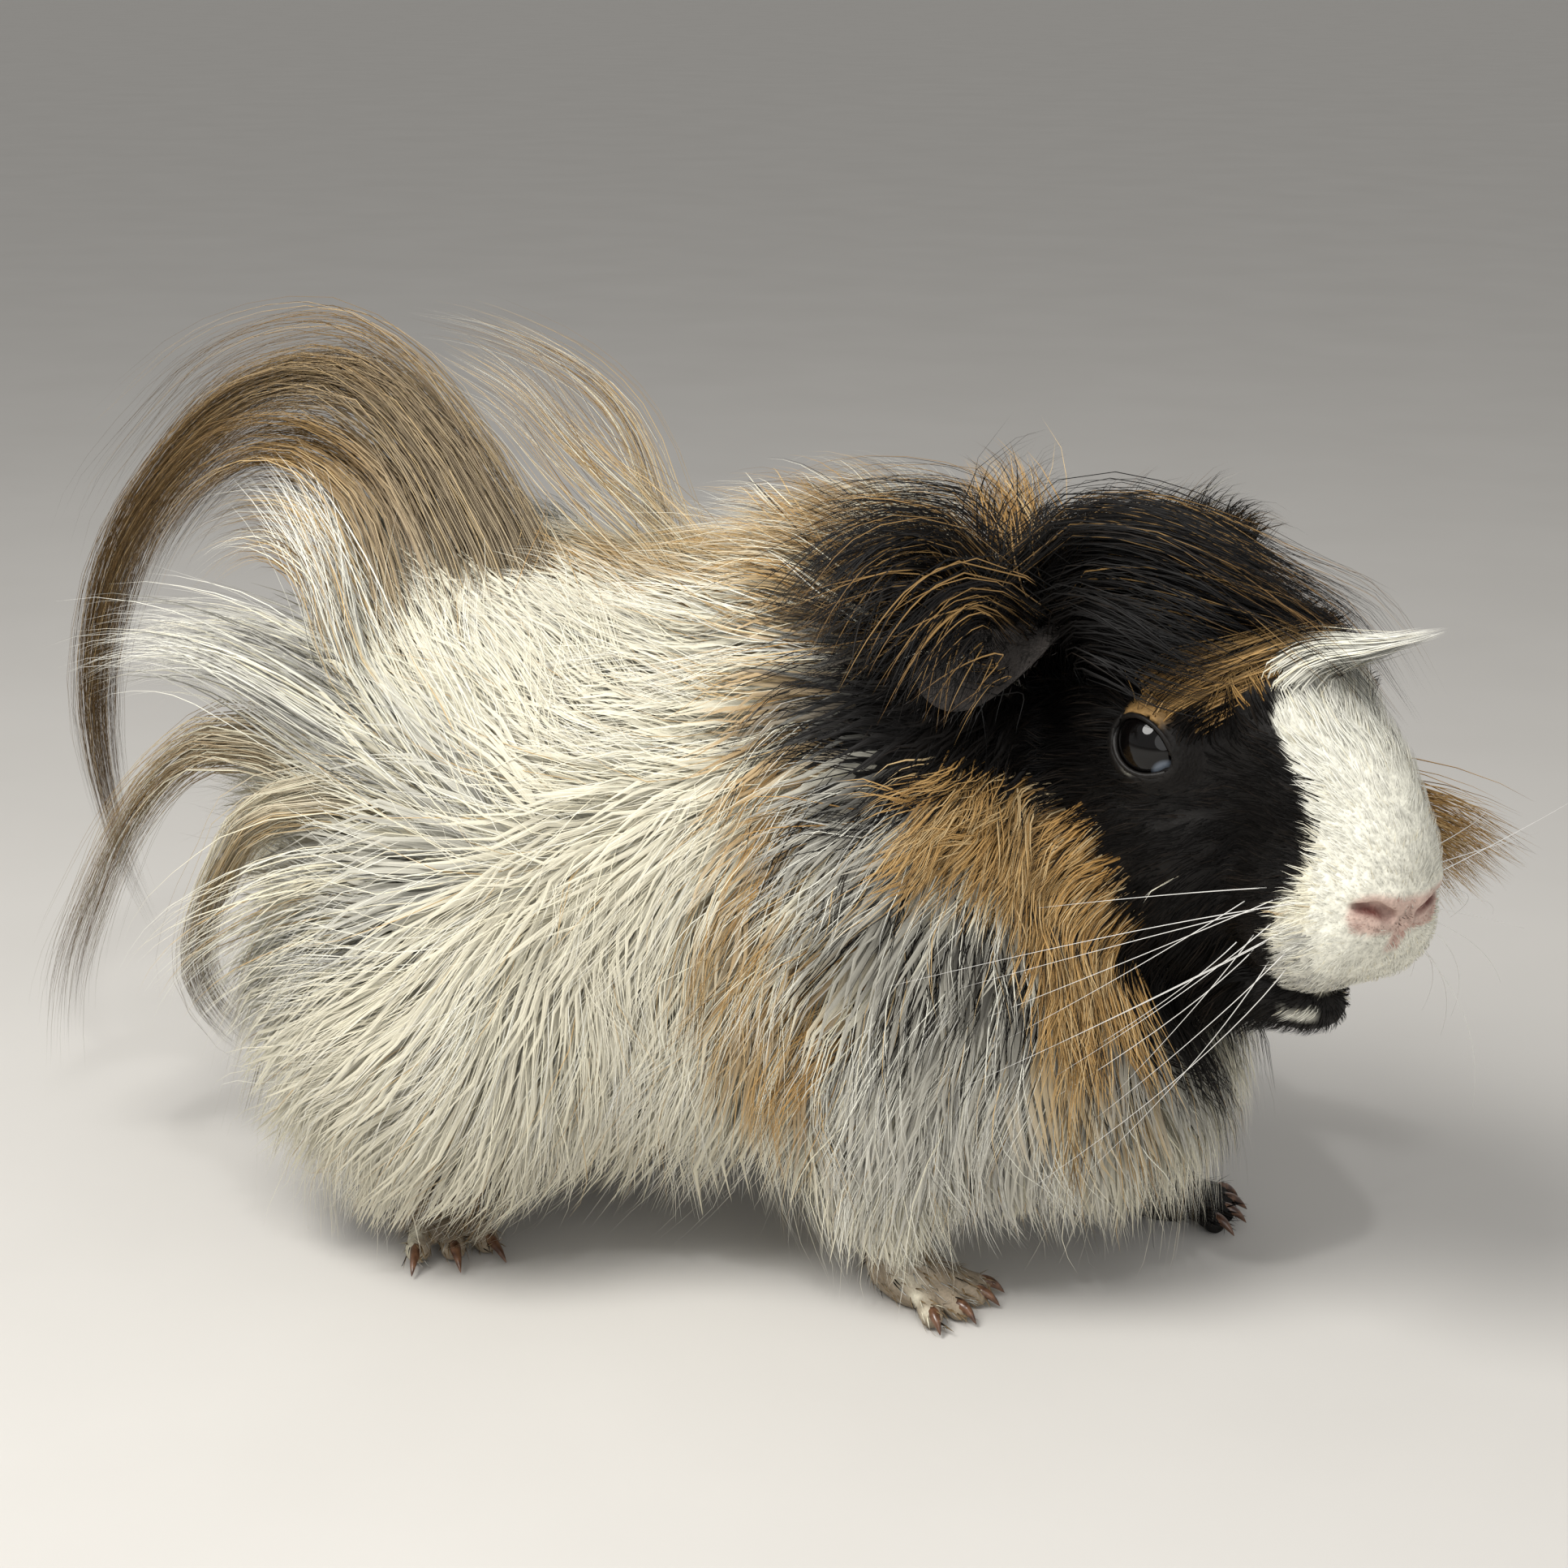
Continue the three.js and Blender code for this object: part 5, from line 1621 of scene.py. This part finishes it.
def eye_material(corner):
    """Glossy near-black brown, with a pale wedge in its front corner."""
    shader = Shader("wet dark eye", Roughness=0.03, Specular_IOR_Level=0.35)
    place = shader.place()
    flecks = shader.noise((900.0, 2.0), place=place)
    dark = shader.ramp(flecks, (0.0010, 0.0009, 0.0010), (0.0030, 0.0022, 0.0020))
    links = {0: place, 1: tuple(corner * MM)}
    gap = shader.add("ShaderNodeVectorMath", links, operation="DISTANCE").outputs["Value"]
    wedge = shader.ranged(gap, WEDGE_EDGES, (0.0, 1.0))
    links = {"Factor": wedge, 6: dark, 7: (0.11, 0.13, 0.16, 1)}
    mix = shader.add("ShaderNodeMix", links, data_type="RGBA")
    shader.feed("Base Color", mix.outputs[2])
    return shader.material


def lid_edge(side):
    """The lid's rounded edge: an almond on a sphere just outside the eyeball.

    (a cos t, b sin t) across the eye, a little wider at its corners, is lifted out to the sphere
    by sqrt(r^2 - a^2 cos^2 t - b^2 sin^2 t).
    """
    outward, ahead, above = eye_axes(side)
    turn = np.linspace(0, 2 * np.pi, 72, endpoint=False) * side
    pinch = 1 + 0.10 * np.cos(turn) ** 6
    wide = (EYE_HALF_WIDTH + 0.1) * np.cos(turn) * pinch
    high = (EYE_HALF_HEIGHT - 0.1) * np.sin(turn)
    radius = EYE_RADIUS + 0.5
    lift = np.sqrt(radius**2 - wide**2 - high**2)
    path = wide[:, None] * ahead + high[:, None] * above + lift[:, None] * outward
    middle = np.array(mirrored(EYE_AT, side))
    thick = 0.5 + 0.12 * np.cos(2 * turn)
    return loop_tube(from_head(path + middle), thick, from_head(middle + outward * 4))


for side_name, side in SIDES.items():
    middle = np.array(mirrored(EYE_AT, side))
    corner = from_head(middle + WEDGE_AT @ np.array(eye_axes(side))) + SHIFT
    points, faces = ball(from_head(middle), EYE_RADIUS)
    eye = new_mesh(f"eyeball_{side_name}", points, faces, eye_material(corner), slot="eye")
    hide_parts(f"eye_{side_name}")
    points, quads = lid_edge(side)
    lid = speckled("moist lid edge", [(1500.0, 3.0)], (0.004, 0.0035, 0.003), (0.014, 0.012, 0.011),
                   relief=(0.4, 0.0002), Roughness=0.45, Specular_IOR_Level=0.2)
    new_mesh(f"lid_edge_{side_name}", points, [quads], lid, slot="ear_skin")

# ---------------------------------------------------------------- ears

# Each ear hangs from its root to its rim, in the head's frame: the right one is pressed back
# against the turned neck, the left one hangs free.
EARS = {
    -1: ([(-12, -17, 15), (-20, -19, 14), (-29, -25, 11), (-36, -33, 6)],
         [(-10, -25, 17), (-13, -32, 9), (-17, -39.5, 1), (-23, -46, -1), (-33, -51, 2)]),
    1: ([(-18, 16, 13), (-26, 18, 12), (-33, 20, 9), (-39, 21, 5)],
        [(-16, 21, 13), (-18, 28, 6), (-24, 33, 0), (-31, 34, -1), (-37, 31, 1)]),
}
EAR_THICKNESS = 1.5
EAR_ROWS = 44


def ear_fold(reach):
    """How far the sheet of an ear arches at each reach from root to rim: a half turn of a sine."""
    return 2.2 * np.sin(np.pi * reach)


def ear(side):
    """A drooping petal: a sheet from root to rim, swollen to its thickness and closed all round.

    With u round the section, the reach from root to rim is (1 - cos u) / 2 and the offset
    through the sheet is sin u; both shrink to nothing at the front and back ends.
    """
    rows, rounds = EAR_ROWS, 28
    root, rim = [curve_through(line, rows) for line in EARS[side]]
    share = np.linspace(0, 1, rows)
    open_share = np.sin(np.pi * share)[:, None] ** 0.45
    turn = np.linspace(0, 2 * np.pi, rounds, endpoint=False)[None]
    reach = (1 - np.cos(turn)) / 2 * open_share
    span = rim - root
    along = unit(np.gradient(rim, axis=0))
    normal = unit(np.cross(span, along)) * side
    swell = (EAR_THICKNESS / 2) * np.sin(turn) * open_share * (1 + 0.35 * smooth(0.8, 1, reach))
    ripple = 0.5 * np.sin(9 * share[:, None] + 3 * reach) * reach
    offset = (swell + ear_fold(reach) + ripple)[..., None] * normal[:, None]
    points = root[:, None] + span[:, None] * reach[..., None] + offset
    points = from_head(points.reshape(-1, 3))
    quads = joined_rings(rows, rounds)
    return points, quads if side > 0 else quads[:, ::-1], normal, root, rim


# Dark velvety ear skin: fine down over faint creases.
velvet_ear = speckled("velvety ear", [(2600.0, 3.0), (260.0, 2.0)], (0.008, 0.007, 0.006),
                      (0.034, 0.029, 0.026), (0.7, 1.0), relief=(0.6, 0.0003), Roughness=0.75,
                      Sheen_Weight=0.12, Sheen_Roughness=0.4, Specular_IOR_Level=0.2)
for side_name, side in SIDES.items():
    points, quads, *_ = ear(side)
    shell = new_mesh(f"ear_shell_{side_name}", points, [quads], velvet_ear, slot="ear_skin")
    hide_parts(f"ear_{side_name}")

# ---------------------------------------------------------------- claws


def claw(toe_tip, point, thick):
    """A claw: a round horn that arches from inside the toe down to its point on the floor.

    Its height falls by t^2.2 from the toe to the point, and arches over that by 0.9 sin(pi t).
    """
    start = toe_tip + (toe_tip - point) * 0.35
    share = np.linspace(0, 1, 14)
    path = start + (point - start) * share[:, None]
    height = toe_tip[2] + 0.2
    path[:, 2] = height + (point[2] - height) * share**2.2 + 0.9 * np.sin(np.pi * share)
    radii = CLAW_RADIUS * (1 - share**1.6) ** 0.8 * (0.85 + 0.15 * thick) + 0.05
    path[:, 2] = np.maximum(path[:, 2], radii + 0.02)
    return tube(path, radii, 10)


# Reddish-brown horn, streaked.
horn = speckled("horn of the claws", [(700.0, 3.0)], (0.055, 0.022, 0.011), (0.20, 0.098, 0.052),
                (0.35, 0.7), relief=(0.3, 0.0002), Roughness=0.28, Coat_Weight=0.3,
                Coat_Roughness=0.1)
for foot in FEET:
    form = FEET[foot][0]
    toes = foot_parts(foot)[1]
    thick = form["thick"] / HIND["thick"]
    points, faces = joined([claw(tip, point, thick) for _, tip, point, _ in toes])
    claws = new_mesh(f"{foot}_claws", points, faces, horn, slot="claw")
    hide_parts(*[f"{foot}_claw_{number + 1}" for number in range(len(toes))])

# ---------------------------------------------------------------- short hair on feet and ears

SHORT_ROOT_DEPTH = 0.2
SHORT_FLOOR_GAP = 0.25


def short_hair(name, roots, out, lie, lengths, width, colours, unwrap, slot):
    """Short strands that leave the skin and bend along it: root + lie x + out y.

    y = 0.34 x - 0.12 x^2, where x runs from 0 at the root to 1 at the tip.
    """
    share = np.linspace(0, 1, 4)[None, :, None]
    lie = unit(lie - dot(lie, out) * out + 0.22 * rng.normal(size=lie.shape))
    rise = 0.34 * share - 0.12 * share**2
    reach = lengths[:, None, None]
    paths = roots[:, None] - SHORT_ROOT_DEPTH * out[:, None]
    paths = paths + (lie[:, None] * share + out[:, None] * rise) * reach
    paths[..., 2] = np.maximum(paths[..., 2], SHORT_FLOOR_GAP)
    outs = np.repeat(out[:, None], 4, axis=1)
    widths = widths_along(rng.uniform(*width, len(roots)), 4)
    strands(name, paths, widths, colours, unwrap(roots), velvet, slot, out=outs)


def foot_hair():
    """Hair on the feet: forward over the palm and along the toes, bare on the soles."""
    height = centres[:, 2]
    weight = np.where(on_head, 0, 1) * smooth(21, 15, height) * smooth(0.8, 2.0, height)
    roots = scattered(weight * np.where(body_gap > 1.5, 1.0, 0), 2600)
    out = slope_of(skin_field, roots)
    places = np.array([(*root, 8.0) for _, root, _, _ in FEET.values()])
    yaws = np.radians([yaw for _, _, yaw, _ in FEET.values()])[nearest(roots, places)]
    lie = np.stack([np.cos(yaws), np.sin(yaws), np.full(len(yaws), -0.25)], axis=1)
    lie = lie + np.array([0, 0, -1.6]) * smooth(9, 15, roots[:, 2:3])
    lengths = rng.uniform(2.0, 3.4, len(roots)) * (1 + 1.2 * smooth(7, 15, roots[:, 2]))
    marking = marking_of(roots, rng.random(len(roots)))
    colours = hair_colours(marking, np.linspace(0, 1, 4), rng.random(len(roots)))
    short_hair("foot_hair", roots, out, lie, lengths, (0.24, 0.42), colours, unwrapped, "paw_skin")


def ear_hair():
    """Down on the ears, lying out towards their rims."""
    count = 400
    for side_name, side in SIDES.items():
        *_, normal, root, rim = ear(side)
        row = rng.integers(3, EAR_ROWS - 3, count)
        reach = rng.uniform(0.25, 1.0, count)[:, None]
        face = rng.choice([-1.0, 1.0], count)[:, None]
        span = rim[row] - root[row]
        offset = ear_fold(reach) + face * EAR_THICKNESS * 0.4
        spots = root[row] + span * reach + normal[row] * offset
        out = (normal[row] * face) @ HEAD_TURN.T
        lie = unit(span) @ HEAD_TURN.T
        colours = marked_colours("ear", count, np.linspace(0, 1, 4), rng.random(count))
        short_hair(f"ear_hair_{side_name}", from_head(spots), out, lie, rng.uniform(1.6, 2.8, count),
                   (0.16, 0.26), colours, unwrapped_head, "ear_skin")


foot_hair()
ear_hair()

# ---------------------------------------------------------------- whiskers

WHISKER_SEED = 41


def whiskers(side):
    """Rows of bristles on one whisker pad: root + aim s + sag s^2, thinning to a point."""
    parts = []
    source = np.random.default_rng(WHISKER_SEED + side)
    for level in range(4):
        for place in range(3 + level % 2):
            root = np.array([32.0 - 3.0 * place, side * (13.0 + 0.8 * place), -13.5 - 3.4 * level])
            if side < 0:
                aim = np.array([-0.30 - 0.14 * place, -1.0, -0.40 - 0.42 * level])
                length = source.uniform(28, 50)
            else:
                aim = np.array([0.60 - 0.16 * place, 1.0, 0.45 - 0.36 * level])
                length = source.uniform(20, 38)
            aim = unit(aim + 0.22 * source.normal(size=3))
            share = np.linspace(0, 1, 14)[:, None]
            sag = np.array([-0.55, 0, -0.42]) * length * source.uniform(0.2, 1.7)
            path = from_head(root + aim * length * share + sag * share**2)
            path[:, 2] = np.maximum(path[:, 2], 1)
            parts.append(tube(path, 0.075 * (1 - share[:, 0]) ** 0.8 + 0.012, 5))
    return joined(parts)


# Smooth pale bristle.
bristle = speckled("whisker bristle", [(120.0, 1.0)], (0.62, 0.60, 0.56), (0.86, 0.85, 0.82),
                   Roughness=0.35)
for side_name, side in SIDES.items():
    points, faces = whiskers(side)
    new_mesh(f"whiskers_{side_name}", points, faces, bristle, slot="coat_white")

# ---------------------------------------------------------------- floor, light and camera

# The camera: its turn forward from the animal's right, its rise over the floor, how far it is
# from what it looks at, half of what it sees there, and the width of its sensor.
CAMERA_TURN = np.radians(18)
CAMERA_RISE = np.radians(17)
CAMERA_REACH = 480.0
CAMERA_AIM = np.array([0.0, 0.0, 80.8])
HALF_VIEW = 134.0
SENSOR = 36.0
LAMP_AIM = (0, 0, 70)
FLOOR_HALF_SIZE = 14000.0


def in_metres(place):
    """A place of the animal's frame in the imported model's frame."""
    return Vector((np.asarray(place, float) + SHIFT) * MM)


def add_camera():
    """The camera looks at the middle of the animal from its right and a little in front."""
    back = np.array([
        np.sin(CAMERA_TURN) * np.cos(CAMERA_RISE),
        -np.cos(CAMERA_TURN) * np.cos(CAMERA_RISE),
        np.sin(CAMERA_RISE),
    ])
    camera = placed("camera", bpy.data.cameras.new("camera"))
    camera.location = in_metres(CAMERA_AIM + back * CAMERA_REACH)
    camera.rotation_euler = Vector(-back).to_track_quat("-Z", "Y").to_euler()
    camera.data.sensor_width = SENSOR
    camera.data.lens = SENSOR * CAMERA_REACH / (2 * HALF_VIEW)
    camera.data.clip_start = 0.01
    bpy.context.scene.camera = camera


def add_lamp(name, place, size, power, colour=(1, 1, 1)):
    """A round soft lamp that faces the animal's middle."""
    lamp = bpy.data.lights.new(name, "AREA")
    lamp.shape = "DISK"
    lamp.size = size * MM
    lamp.energy = power
    lamp.color = colour
    holder = placed(name, lamp)
    holder.location = in_metres(place)
    aim = in_metres(LAMP_AIM) - holder.location
    holder.rotation_euler = aim.to_track_quat("-Z", "Y").to_euler()


def add_floor():
    """A pale floor that keeps the animal's shadow."""
    corners = [(-1, -1, 0), (1, -1, 0), (1, 1, 0), (-1, 1, 0)]
    mesh = bpy.data.meshes.new("floor")
    mesh.from_pydata([in_metres(np.array(corner) * FLOOR_HALF_SIZE) for corner in corners], [],
                     [(0, 1, 2, 3)])
    mesh.materials.append(speckled("pale floor", [(14.0, 3.0)], (0.60, 0.58, 0.55),
                                   (0.66, 0.64, 0.61), Roughness=0.9, Specular_IOR_Level=0.1))
    placed("floor", mesh)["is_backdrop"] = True


def add_world():
    """An even pale sky."""
    world = bpy.data.worlds.new("studio")
    world.use_nodes = True
    world.node_tree.nodes["Background"].inputs["Color"].default_value = (1.0, 0.995, 0.98, 1)
    world.node_tree.nodes["Background"].inputs["Strength"].default_value = 0.40
    bpy.context.scene.world = world


add_world()
add_floor()
add_lamp("key lamp", (-200, -400, 640), 390, 5.2, (1.0, 0.985, 0.95))
add_lamp("front lamp", (280, -450, 260), 460, 0.7)
add_lamp("eye lamp", (190, -420, 620), 26, 0.7)
add_camera()
bpy.context.scene.view_settings.view_transform = "Standard"

boxes = {"solid": solid_box, "visual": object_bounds()}
{name: [list(map(float, corner)) for corner in box] for name, box in boxes.items()}
